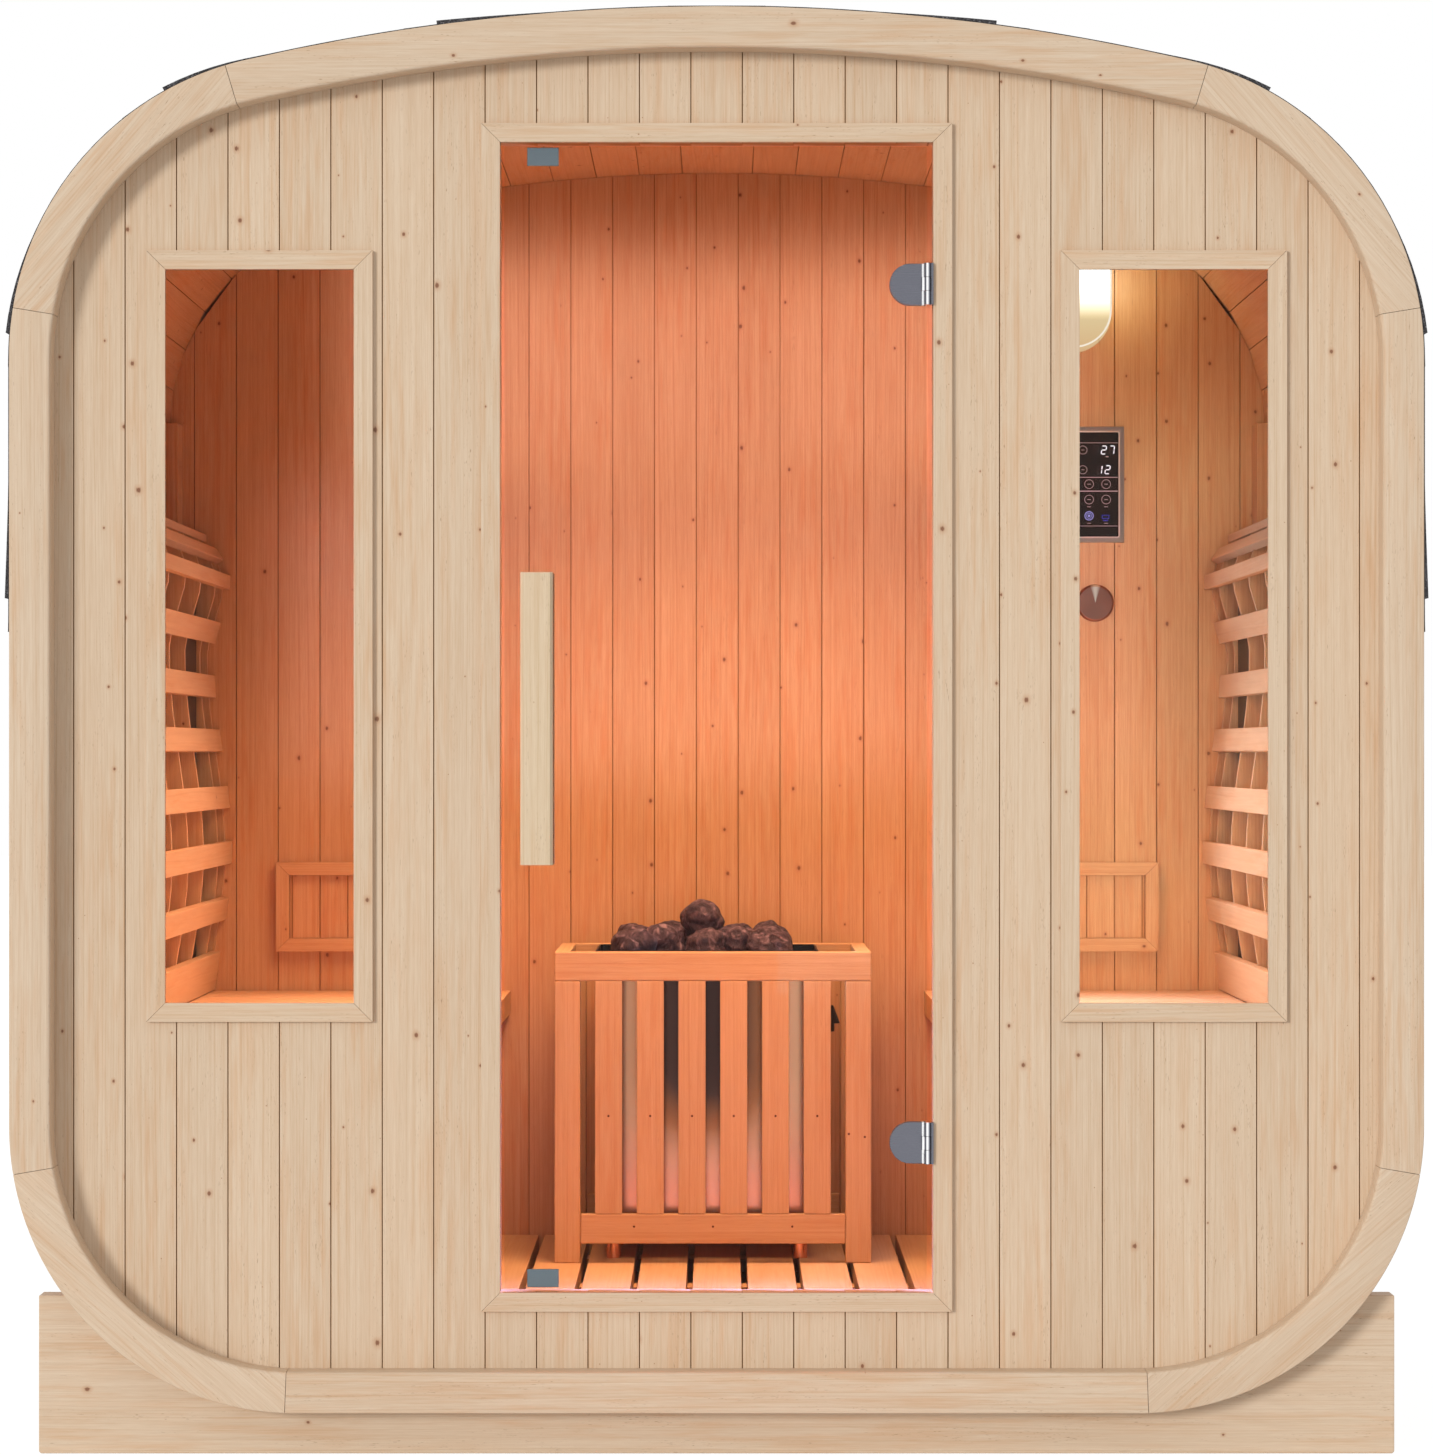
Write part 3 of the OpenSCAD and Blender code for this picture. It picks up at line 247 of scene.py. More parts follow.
def islands(mesh):
    """Number of the solid that each point belongs to: the lowest number spreads along the edges."""
    edges = np.empty(len(mesh.edges) * 2, np.int64)
    mesh.edges.foreach_get("vertices", edges)
    edges = edges.reshape(-1, 2)
    label = np.arange(len(mesh.vertices))
    while True:
        low = label[edges].min(1)
        new = label.copy()
        np.minimum.at(new, edges[:, 0], low)
        np.minimum.at(new, edges[:, 1], low)
        new = new[new]
        if (new == label).all():
            return np.unique(label, return_inverse=True)[1]
        label = new


def points_of(mesh):
    co = np.empty(len(mesh.vertices) * 3)
    mesh.vertices.foreach_get("co", co)
    return co.reshape(-1, 3)


def solids_of(mesh):
    """A mesh's points, the number of the solid each belongs to, and the solids' low and high corners."""
    co, label = points_of(mesh), islands(mesh)
    low = np.full((label.max() + 1, 3), np.inf)
    high = -low
    np.minimum.at(low, label, co)
    np.maximum.at(high, label, co)
    return co, label, low, high


def merged(node):
    """A copy of a CAD node's mesh with its corners merged and its flat faces whole."""
    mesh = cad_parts[node].data.copy()
    mesh.materials.clear()
    bm = bmesh.new()
    bm.from_mesh(mesh)
    bmesh.ops.remove_doubles(bm, verts=bm.verts, dist=0.01 * MM)
    bmesh.ops.dissolve_limit(bm, angle_limit=math.radians(0.4), verts=bm.verts, edges=bm.edges)
    bm.to_mesh(mesh)
    bm.free()
    return mesh


def eased(node, material, body, slot, arris=1.2 * MM, smooth=False):
    """A CAD node with its arrises eased and the grain laid along each of its sticks."""
    mesh = merged(node)
    mesh.name = node + "_eased"
    mesh.materials.append(material)
    co, label, low, high = solids_of(mesh)
    order = np.argsort(high - low, axis=1)[:, [1, 0, 2]]
    offset, number = sticks(len(low))
    local = co - ((low + high) / 2)[label]
    grain = np.take_along_axis(local, order[label], 1) + offset[label]
    lay_grain(mesh, grain, number[label])
    piece = enter(node + "_eased", mesh, body, slot, node)
    bevel = piece.modifiers.new("arris", "BEVEL")
    bevel.width = arris
    bevel.segments = 2
    bevel.limit_method = "ANGLE"
    bevel.angle_limit = math.radians(28)
    if smooth:
        mesh.polygons.foreach_set("use_smooth", np.ones(len(mesh.polygons), bool))
        mesh.set_sharp_from_angle(angle=math.radians(30))
    return piece


# ---------------------------------------------------------------- materials

def colour(code):
    """An sRGB hex value as linear red, green, blue and alpha."""
    srgb = np.array([int(code[i:i + 2], 16) / 255 for i in (1, 3, 5)])
    linear = np.where(srgb <= 0.04045, srgb / 12.92, ((srgb + 0.055) / 1.055) ** 2.4)
    return (*linear, 1.0)


def add(tree, kind, inputs=None, **settings):
    """Adds a node, sets what it holds, and sets or links its inputs by name or number."""
    node = tree.nodes.new("ShaderNode" + kind)
    for key, value in settings.items():
        setattr(node, key, value)
    for key, value in (inputs or {}).items():
        if isinstance(value, bpy.types.NodeSocket):
            tree.links.new(value, node.inputs[key])
        else:
            node.inputs[key].default_value = value
    return node


def reckon(tree, operation, *inputs):
    """The result of a Math node."""
    return add(tree, "Math", dict(enumerate(inputs)), operation=operation).outputs[0]


def remap(tree, value, low, high, start=0.0, end=1.0, **settings):
    """A value between low and high, laid over start to end."""
    inputs = {0: value, 1: low, 2: high, 3: start, 4: end}
    return add(tree, "MapRange", inputs, **settings).outputs[0]


def mixed(tree, share, first, second, **settings):
    """Two colours mixed by share."""
    return add(tree, "Mix", {0: share, 6: first, 7: second}, data_type="RGBA", **settings).outputs[2]


def own_place(tree):
    """Where a point lies in the object's own mesh."""
    return add(tree, "TexCoord").outputs["Object"]


def ramp(tree, factor, stops):
    """A colour ramp through (place, colour or grey) stops."""
    node = add(tree, "ValToRGB", {"Fac": factor})
    band = node.color_ramp
    while len(band.elements) < len(stops):
        band.elements.new(0.5)
    for element, (place, shade) in zip(band.elements, stops):
        element.position = place
        element.color = colour(shade) if isinstance(shade, str) else (shade, shade, shade, 1)
    return node.outputs["Color"]


def seen_directly(tree):
    """1 for rays from the camera, off a mirror or through glass, and 0 for light on matt things."""
    rays = add(tree, "LightPath").outputs
    seen = reckon(tree, "MAXIMUM", rays["Is Camera Ray"], rays["Is Glossy Ray"])
    return reckon(tree, "MAXIMUM", seen, rays["Is Transmission Ray"])


def start_material(name):
    material = bpy.data.materials.new(name)
    material.use_nodes = True
    tree = material.node_tree
    tree.nodes.clear()
    return material, tree, add(tree, "OutputMaterial")


def finish_surface(tree, out, shader):
    tree.links.new(shader.outputs[0], out.inputs["Surface"])


def sized(tree, vector, across, through, along):
    """Scales a vector so that one unit of the pattern is this many metres each way."""
    return add(tree, "Mapping", {"Vector": vector, "Scale": (1 / across, 1 / through, 1 / along)}).outputs[0]


def planed_spruce(name, early, late, blush, knot_every=0.1, contrast=1.0, rough=0.5):
    """Planed spruce: pale wood with fine straight fibres, faint year lines, short flecks and small knots.

    The pattern lies in each board's own across, through and along. Year lines are a one-way noise of
    the distance across, bent a little by a slow noise. Fibres are a noise some 35 times longer than wide.
    """
    material, tree, out = start_material(name)
    grain = add(tree, "Attribute", attribute_name="grain").outputs["Vector"]
    board = add(tree, "Attribute", attribute_name="board").outputs["Fac"]
    joint = add(tree, "Attribute", attribute_name="joint").outputs["Fac"]
    part = add(tree, "SeparateXYZ", {0: grain})

    def streaks(across, along, detail, low, high):
        """Noise drawn out along the grain, from 0 to 1 between two of its values."""
        where = sized(tree, grain, across, across, along)
        noise = add(tree, "TexNoise", {"Vector": where, "Scale": 1, "Detail": detail})
        return remap(tree, noise.outputs["Fac"], low, high)

    def painted(body, share, code):
        return mixed(tree, share, body, colour(code))

    def product(a, b):
        return reckon(tree, "MULTIPLY", a, b)

    bend = add(tree, "TexNoise", {"Vector": sized(tree, grain, 0.06, 0.06, 1.2), "Scale": 1, "Detail": 1})
    across = reckon(tree, "MULTIPLY_ADD", part.outputs[1], 0.4, part.outputs[0])
    across = reckon(tree, "MULTIPLY_ADD", bend.outputs["Fac"], 0.03, across)
    place = reckon(tree, "DIVIDE", across, 0.003)
    year = add(tree, "TexNoise", {
        "W": place, "Scale": 1, "Detail": 2, "Roughness": 0.6}, noise_dimensions="1D")
    year = remap(tree, year.outputs["Fac"], 0.45, 0.75)
    fibre = streaks(0.9 * MM, 32 * MM, 3, 0.3, 0.7)
    band = streaks(6 * MM, 260 * MM, 2, 0.3, 0.7)
    depth = reckon(tree, "MULTIPLY_ADD", year, 0.35, product(fibre, 0.35))
    depth = reckon(tree, "MULTIPLY_ADD", band, 0.3, depth)
    body = mixed(tree, product(depth, contrast), colour(early), colour(late))
    warm = product(streaks(9 * MM, 120 * MM, 2, 0.42, 0.68), streaks(60 * MM, 500 * MM, 1, 0.35, 0.6))
    body = mixed(tree, warm, body, colour(blush), blend_type="MULTIPLY")
    tone = add(tree, "TexWhiteNoise", {"W": board}, noise_dimensions="1D").outputs["Value"]
    tone = remap(tree, tone, 0, 1, 0.97, 1.03)
    body = mixed(tree, 1.0, body, tone, blend_type="MULTIPLY")
    # short brown flecks, 1 mm by 9 mm, in patches
    fleck = product(streaks(1.0 * MM, 9 * MM, 1, 0.66, 0.76), streaks(14 * MM, 180 * MM, 1, 0.5, 0.62))
    body = painted(body, product(fleck, 0.62), "#8F6A4A")
    # knots: a cell of the pattern holds one, most of them pins, a few of them 7 mm across
    flat = add(tree, "CombineXYZ", {0: part.outputs[0], 1: product(part.outputs[2], 0.8), 2: 0.0}).outputs[0]
    cell = add(tree, "TexVoronoi", {"Vector": flat, "Scale": 1 / knot_every}, voronoi_dimensions="2D")
    size = add(tree, "SeparateColor", {0: cell.outputs["Color"]}).outputs[0]
    size = remap(tree, size, 0.3, 1.0, 0.5 * MM, 3.6 * MM)
    wobble = remap(tree, fibre, 0, 1, 0.7, 1.3)
    far = product(product(cell.outputs["Distance"], wobble), knot_every)
    far = reckon(tree, "DIVIDE", far, size)
    body = painted(body, remap(tree, far, 0.8, 2.4, 0.45, 0.0), "#B9855F")
    body = painted(body, remap(tree, far, 0.55, 1.0, 0.9, 0.0), "#7D5036")
    body = painted(body, joint, "#9A6A34")
    bump = add(tree, "Bump", {"Height": depth, "Strength": 0.2, "Distance": 0.12 * MM})
    sheen = remap(tree, depth, 0, 1, rough + 0.05, rough - 0.05)
    shader = add(tree, "BsdfPrincipled", {
        "Base Color": body, "Roughness": sheen, "IOR": 1.48, "Normal": bump.outputs[0]})
    finish_surface(tree, out, shader)
    return material


def satin_steel(name, shade, rough, brush, bright=None):
    """Brushed stainless steel: scratches brush long and 0.4 mm wide.

    bright is the place across of the middle between two painted highlights along a hinge's knuckle:
    bands of white base colour, each about 3 mm wide, that stand in for its reflections.
    """
    material, tree, out = start_material(name)
    where = own_place(tree)
    drawn = sized(tree, where, brush, 0.4 * MM, 0.4 * MM)
    scratch = add(tree, "TexNoise", {"Vector": drawn, "Scale": 1, "Detail": 4})
    dull = remap(tree, scratch.outputs["Fac"], 0.3, 0.7, rough - 0.07, rough + 0.08)
    bump = add(tree, "Bump", {"Height": scratch.outputs["Fac"], "Strength": 0.1, "Distance": 0.03 * MM})
    body = colour(shade)
    if bright is not None:
        # painted highlight: two white bands along the knuckle stand in for its reflections
        across = add(tree, "SeparateXYZ", {0: where}).outputs[0]
        off = reckon(tree, "SUBTRACT", across, bright)
        off = reckon(tree, "ABSOLUTE", off)
        off = reckon(tree, "SUBTRACT", off, 2.9 * MM)
        off = reckon(tree, "ABSOLUTE", off)
        band = remap(tree, off, 1.2 * MM, 1.9 * MM, 1.0, 0.0)
        body = mixed(tree, band, body, colour("#FFFFFF"))
    shader = add(tree, "BsdfPrincipled", {
        "Base Color": body, "Metallic": 1.0, "Roughness": dull, "Normal": bump.outputs[0]})
    finish_surface(tree, out, shader)
    return material


def float_glass(name, tint, dim):
    """Clear glass with a weak mirror, an eighth of the Fresnel share, and a faint green tint.

    Light that falls through it on matt things is dimmed and warmed.
    """
    material, tree, out = start_material(name)
    shade = mixed(tree, seen_directly(tree), colour(dim), colour(tint))
    through = add(tree, "BsdfTransparent", {"Color": shade})
    mirror = add(tree, "BsdfGlossy", {"Color": (1, 1, 1, 1), "Roughness": 0.0})
    fresnel = add(tree, "Fresnel", {"IOR": 1.45})
    share = reckon(tree, "MULTIPLY", fresnel.outputs[0], 0.12)
    shader = add(tree, "MixShader", {0: share, 1: through.outputs[0], 2: mirror.outputs[0]})
    finish_surface(tree, out, shader)
    return material


def plain(name, shade, rough, metallic=0.0, grit=0.6 * MM, bumps=0.1, spread=0.15):
    """A painted or cast surface: one colour with a fine grit in its tone and relief."""
    material, tree, out = start_material(name)
    where = own_place(tree)
    noise = add(tree, "TexNoise", {"Vector": where, "Scale": 1 / grit, "Detail": 3})
    tone = remap(tree, noise.outputs["Fac"], 0.3, 0.7, 1 - spread, 1 + spread)
    body = mixed(tree, 1.0, colour(shade), tone, blend_type="MULTIPLY")
    bump = add(tree, "Bump", {"Height": noise.outputs["Fac"], "Strength": bumps, "Distance": grit / 2})
    shader = add(tree, "BsdfPrincipled", {
        "Base Color": body, "Metallic": metallic, "Roughness": rough, "Normal": bump.outputs[0]})
    finish_surface(tree, out, shader)
    return material


def olivine():
    """Broken olivine: dark purple-grey with pale streaks, rough."""
    material, tree, out = start_material("olivine_stone")
    where = own_place(tree)
    vein = add(tree, "TexNoise", {
        "Vector": where, "Scale": 60, "Detail": 6, "Roughness": 0.65, "Distortion": 1.5})
    body = ramp(tree, vein.outputs["Fac"], [
        (0.3, "#241B24"), (0.48, "#40333F"), (0.58, "#5F4E5A"), (0.7, "#9C8491")])
    grit = add(tree, "TexNoise", {"Vector": where, "Scale": 500, "Detail": 4})
    bump = add(tree, "Bump", {"Height": vein.outputs["Fac"], "Strength": 0.6, "Distance": 4 * MM})
    bump = add(tree, "Bump", {
        "Height": grit.outputs["Fac"], "Strength": 0.5, "Distance": 0.6 * MM, "Normal": bump.outputs[0]})
    shader = add(tree, "BsdfPrincipled", {"Base Color": body, "Roughness": 0.6, "Normal": bump.outputs[0]})
    finish_surface(tree, out, shader)
    return material


def mineral_felt():
    """Bitumen felt faced with slate granules of 1.4 mm."""
    material, tree, out = start_material("mineral_felt")
    where = own_place(tree)
    grains = add(tree, "TexVoronoi", {"Vector": where, "Scale": 1 / (1.4 * MM)})
    tone = ramp(tree, add(tree, "SeparateColor", {0: grains.outputs["Color"]}).outputs[0],
                [(0.0, "#232224"), (0.6, "#3A393B"), (0.9, "#57565A"), (1.0, "#7A797C")])
    bump = add(tree, "Bump", {"Height": grains.outputs["Distance"], "Strength": 0.7, "Distance": 0.5 * MM})
    shader = add(tree, "BsdfPrincipled", {"Base Color": tone, "Roughness": 0.85, "Normal": bump.outputs[0]})
    finish_surface(tree, out, shader)
    return material


def turned_chrome_painted_glint(name, shade, x, z):
    """Chrome turned on a lathe round the axis through x and z.

    Its base colour is painted white in a streak from the middle to the top: a painted reflection.
    """
    material, tree, out = start_material(name)
    where = own_place(tree)
    arm = add(tree, "VectorMath", {0: where, 1: (x, 0, z)}, operation="SUBTRACT").outputs[0]
    around = add(tree, "VectorMath", {0: arm, 1: (0, 1, 0)}, operation="CROSS_PRODUCT").outputs[0]
    around = add(tree, "VectorMath", {0: around}, operation="NORMALIZE").outputs[0]
    level = add(tree, "SeparateXYZ", {0: around}).outputs[0]
    # painted reflection: the base colour turns white in a streak towards the top
    streak = remap(tree, level, -0.95, -1.0)
    body = mixed(tree, streak, colour(shade), colour("#FFFFFF"))
    shader = add(tree, "BsdfPrincipled", {
        "Base Color": body, "Metallic": 1.0, "Roughness": 0.3, "Anisotropic": 0.85, "Tangent": around})
    finish_surface(tree, out, shader)
    return material


def stove_steel():
    """Polished stainless steel with a painted reflection: darker in a soft patch, darkest on top, pale pink
    below and at the sides.
    """
    material, tree, out = start_material("steel_painted_reflection")
    part = add(tree, "SeparateXYZ", {0: own_place(tree)}).outputs
    side = remap(tree, part[0], -0.175, -0.045, interpolation_type="SMOOTHSTEP")
    other = remap(tree, part[0], 0.135, -0.01, interpolation_type="SMOOTHSTEP")
    rise = remap(tree, part[2], 0.30, 0.49, interpolation_type="SMOOTHSTEP")
    patch = reckon(tree, "MULTIPLY", side, other)
    patch = reckon(tree, "MULTIPLY", patch, rise)
    # painted reflection: the base colour runs from pale pink to dark brown over the patch
    body = ramp(tree, patch, [(0.0, "#F2AC8A"), (0.35, "#B56B48"), (0.75, "#5A3A34"), (1.0, "#4A302D")])
    shader = add(tree, "BsdfPrincipled", {"Base Color": body, "Metallic": 1.0, "Roughness": 0.22})
    finish_surface(tree, out, shader)
    return material


def lamp_shade():
    """Lit glass shade: an even glow, white round the lamp and cream towards its round end."""
    material, tree, out = start_material("lit_glass_shade")
    part = add(tree, "SeparateXYZ", {0: own_place(tree)}).outputs
    rise = remap(tree, part[2], 1.69, 1.81)
    glow = ramp(tree, rise, [(0.0, "#E9B98C"), (0.55, "#F3D3A4"), (0.75, "#FFEFD6"), (0.9, "#FFFFFF")])
    power = remap(tree, rise, 0.5, 0.95, 0.95, 2.4)
    finish_surface(tree, out, add(tree, "Emission", {"Color": glow, "Strength": power}))
    return material


def glowing(name, shade, strength):
    """A lit mark or lens: one even glow."""
    material, tree, out = start_material(name)
    finish_surface(tree, out, add(tree, "Emission", {"Color": colour(shade), "Strength": strength}))
    return material


SPRUCE = planed_spruce("planed_spruce_outside", "#DCC7AE", "#C5A684", "#FBF0E6")
RING_SPRUCE = planed_spruce("planed_spruce_ring", "#DCC8B0", "#C5A787", "#FBF0E6", knot_every=0.2)
HANDLE_SPRUCE = planed_spruce("planed_spruce_handle", "#DECAAE", "#C7AA84", "#FBF2EA", knot_every=0.09)
CABIN_SPRUCE = planed_spruce("tanned_spruce_inside", "#DDB78C", "#BD8C5E", "#FBEADC", knot_every=0.09)
BENCH_SPRUCE = planed_spruce("tanned_spruce_bench", "#DFBB90", "#C5976A", "#FBF0E6", knot_every=0.3)
STEEL = satin_steel("satin_steel_painted_glint", "#75767F", 0.28, 0.03, bright=296.5 * MM)
CASING_STEEL = stove_steel()
CATCH_STEEL = satin_steel("grey_satin_steel", "#7C818B", 0.35, 0.03)
GLASS = float_glass("clear_float_glass", "#F7FBF9", "#BC8A5A")
BLACK_PAINT = plain("black_stove_paint", "#17151A", 0.45)
STONE = olivine()
FELT = mineral_felt()
LAMP = lamp_shade()
ALUMINIUM = plain(
    "satin_anodised_aluminium", "#B9B4B4", 0.35, metallic=1.0, grit=0.3 * MM, bumps=0.03, spread=0.04)
vent_low, vent_high = (np.array(v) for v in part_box("round_vent"))
CHROME = turned_chrome_painted_glint("turned_chrome_painted_glint", "#A9817A", *((vent_low + vent_high) / 2)[[0, 2]])
PANEL_BLACK = plain("black_acrylic_face", "#08060A", 0.5, grit=4 * MM, bumps=0.0, spread=0.05)
BRIGHT_TRIM = plain("bright_anodised_edge", "#E6DCDC", 0.3, grit=2 * MM, bumps=0.0, spread=0.03)
PRINT = plain("grey_screen_print", "#C6B2BE", 0.5, grit=2 * MM, bumps=0.0, spread=0.03)
UNLIT = plain("unlit_display_bar", "#3B2E36", 0.4, grit=2 * MM, bumps=0.0, spread=0.03)
LIT_DIGIT = glowing("lit_display_bar", "#F6E8F4", 1.5)
KEY_LIGHT = glowing("violet_key_light", "#A79AE6", 1.0)
BAR_LIGHT = glowing("blue_key_light", "#5148B0", 0.8)
SHADE_RIM = glowing("lit_glass_rim", "#FBE7D6", 1.1)
SHADE_LINE = glowing("glass_edge_line", "#C99A66", 0.8)
SPARK = glowing("painted_glint_on_glass", "#FFF6DC", 1.8)
NAIL = plain("brown_nail_head", "#5A2E1C", 0.5, metallic=0.6, grit=1 * MM)
EMITTER = plain("matt_black_enamel", "#0E0C0D", 0.5, grit=3 * MM)


# ---------------------------------------------------------------- boards of the walls

def at_height(inset):
    """Top and bottom of the outline over x: its two branches read off the half outline."""
    half = half_outline(inset)
    widest = half[:, 0].argmax()
    upper, lower = half[:widest + 1], half[widest:][::-1]
    return (lambda x: np.interp(np.abs(x), upper[:, 0], upper[:, 1]),
            lambda x: np.interp(np.abs(x), lower[:, 0], lower[:, 1]))


def wall_boards(name, y0, y1, holes, material, slot, *nodes):
    """Upright tongued boards from side to side, cut to the outline and round the holes.

    Each board is split into flush strips at a hole's edges and where the outline bends, and a
    strip into the spans above and below a hole. holes are (x0, x1, z0, z1).
    """
    top, bottom = at_height(STAVE_T + WALL_FIT)
    x_max = half_outline(STAVE_T + WALL_FIT)[:, 0].max()
    n = int(x_max / BOARD_W + 0.5)
    joints = (np.arange(-n, n) + 0.5) * BOARD_W
    edge = x_max - np.array([0, 0.3, 1.2, 3, 7, 14, 26]) * MM
    cuts = np.array([x for h in holes for x in h[:2]])
    xs = np.unique(np.round(np.concatenate([joints, edge, -edge, cuts]), 6))
    spans = []
    for x0, x1 in zip(xs[:-1], xs[1:]):
        mid = (x0 + x1) / 2
        inside = [h for h in holes if h[0] < mid < h[1]]
        levels = [None] + [z for h in inside for z in h[2:]] + [None]
        for low, high in zip(levels[::2], levels[1::2]):
            spans.append((x0, x1, low, high, math.floor(mid / BOARD_W + 0.5)))
    x0, x1 = (np.array([s[i] for s in spans]) for i in (0, 1))
    number = np.array([s[4] for s in spans])
    is_joint = [np.isclose(x[:, None], joints, atol=1e-6).any(1).astype(float) for x in (x0, x1)]
    corners = [np.stack(np.broadcast_arrays(x, y), -1) for x, y in ((x0, y0), (x1, y0), (x1, y1), (x0, y1))]
    loops, local, in_joint = board_loop(*corners, *is_joint)
    start = np.stack([bottom(l[:, 0]) if s[2] is None else np.full(16, s[2]) for l, s in zip(loops, spans)])
    end = np.stack([top(l[:, 0]) if s[3] is None else np.full(16, s[3]) for l, s in zip(loops, spans)])
    centre = number * BOARD_W
    local[..., 0] = loops[..., 0] - centre[:, None]
    return prisms(name, loops, local, start, end, number - number.min(),
                  lambda p, q, w: np.stack([p, q, w], -1), material, "cabin", slot, *nodes,
                  in_joint=in_joint)


GLASS_CUT = 6.2 * MM
win_low, win_high = (np.array(v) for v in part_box("window_casings"))
CASING_W = 27 * MM
win_x1 = win_high[0] - CASING_W + GLASS_CUT
win_z0, win_z1 = win_low[2] + CASING_W - GLASS_CUT, win_high[2] - CASING_W + GLASS_CUT
WINDOW_W = 268 * MM
win_x0 = win_x1 - WINDOW_W - 2 * GLASS_CUT
door_high = np.array(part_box("door_casing")[1])
door_x = door_high[0] - CASING_W
holes = [(-door_x, door_x, sill_high[2], door_head),
         (win_x0, win_x1, win_z0, win_z1), (-win_x1, -win_x0, win_z0, win_z1)]
wall_boards("front_wall_boards", WALL_FRONT, WALL_BACK, holes, SPRUCE, "wall_wood",
            "front_wall_left", "front_wall_right", "front_wall_over_door", "front_wall_sill")
wall_boards("back_wall_boards", -WALL_BACK, -WALL_FRONT, [], CABIN_SPRUCE, "wall_wood", "back_wall")


# ---------------------------------------------------------------- staves

def staves(name, outer, inner, mirror, *nodes):
    """Staves between neighbouring points of the outer and the inner line."""
    loops, local, in_joint = board_loop(outer[:-1], outer[1:], inner[1:], inner[:-1], 1.0, 1.0)
    return prisms(name, loops * [mirror, 1], local, WALL_FRONT, -WALL_FRONT, np.arange(len(loops)),
                  lambda p, q, w: np.stack([p, w, q], -1), CABIN_SPRUCE, "cabin", "stave_wood", *nodes,
                  in_joint=in_joint)


def on_arc(centre, radius, joints):
    return centre + radius * unit(joints), centre + (radius - STAVE_T) * unit(joints)


all_roof_joints = np.concatenate([180 - ROOF_JOINTS[::-1], ROOF_JOINTS])
staves("roof_stave_boards", *on_arc(ROOF_C, ROOF_R, all_roof_joints), 1, "roof_staves")
side_lines = [np.stack([np.full(len(SIDE_Z), x), SIDE_Z], -1) for x in (HALF_W, HALF_W - STAVE_T)]
for side, sign in (("right", 1), ("left", -1)):
    staves("shoulder_stave_boards_" + side, *on_arc(SHOULDER_C, SHOULDER_R, SHOULDER_JOINTS), sign,
           "shoulder_staves_" + side)
    staves("side_stave_boards_" + side, *side_lines, sign, "side_staves_" + side)
    staves("haunch_stave_boards_" + side, *on_arc(HAUNCH_C, HAUNCH_R, HAUNCH_JOINTS), sign,
           "haunch_staves_" + side)
belly_x = np.linspace(HAUNCH_C[0], -HAUNCH_C[0], round(2 * HAUNCH_C[0] / BOARD_W) + 1)
staves("belly_stave_boards", *[np.stack([belly_x, np.full(len(belly_x), z)], -1)
                               for z in (BODY_BOTTOM, BODY_BOTTOM + STAVE_T)], 1, "belly_staves")


# ---------------------------------------------------------------- rings

def rounded_section(width, depth, radii, n=5):
    """Closed loop of a rectangle whose four corners are quarter circles of their own radii."""
    corners = [(0, 0, 180), (width, 0, 270), (width, depth, 0), (0, depth, 90)]
    loop = []
    for (x, y, a0), r in zip(corners, radii):
        centre = np.array([x + (r if x == 0 else -r), y + (r if y == 0 else -r)])
        loop.append(centre + r * unit(np.linspace(a0, a0 + 90, n)))
    return np.concatenate(loop)


RING_SECTION = rounded_section(RING_W, RING_BACK - RING_FRONT, [5 * MM, 1.6 * MM, 1.2 * MM, 1.2 * MM])
RING_GAP = 0.8 * MM
# How far the top, the side and the bottom pieces reach round the corners, in degrees
TOP_OVER, SHOULDER_OVER, HAUNCH_OVER, BOTTOM_OVER = 3.8, 9.2, 9.6, 2.2


def stations(centre, radius, a0, a1):
    """Points along an arc with their outward directions, at most 1.5 degrees apart."""
    a = np.linspace(a0, a1, max(2, math.ceil(abs(a1 - a0) / 1.5)) + 1)
    return np.concatenate([centre + radius * unit(a), a[:, None]], 1)


def mirrored(path):
    return np.stack([-path[::-1, 0], path[::-1, 1], 180 - path[::-1, 2]], -1)


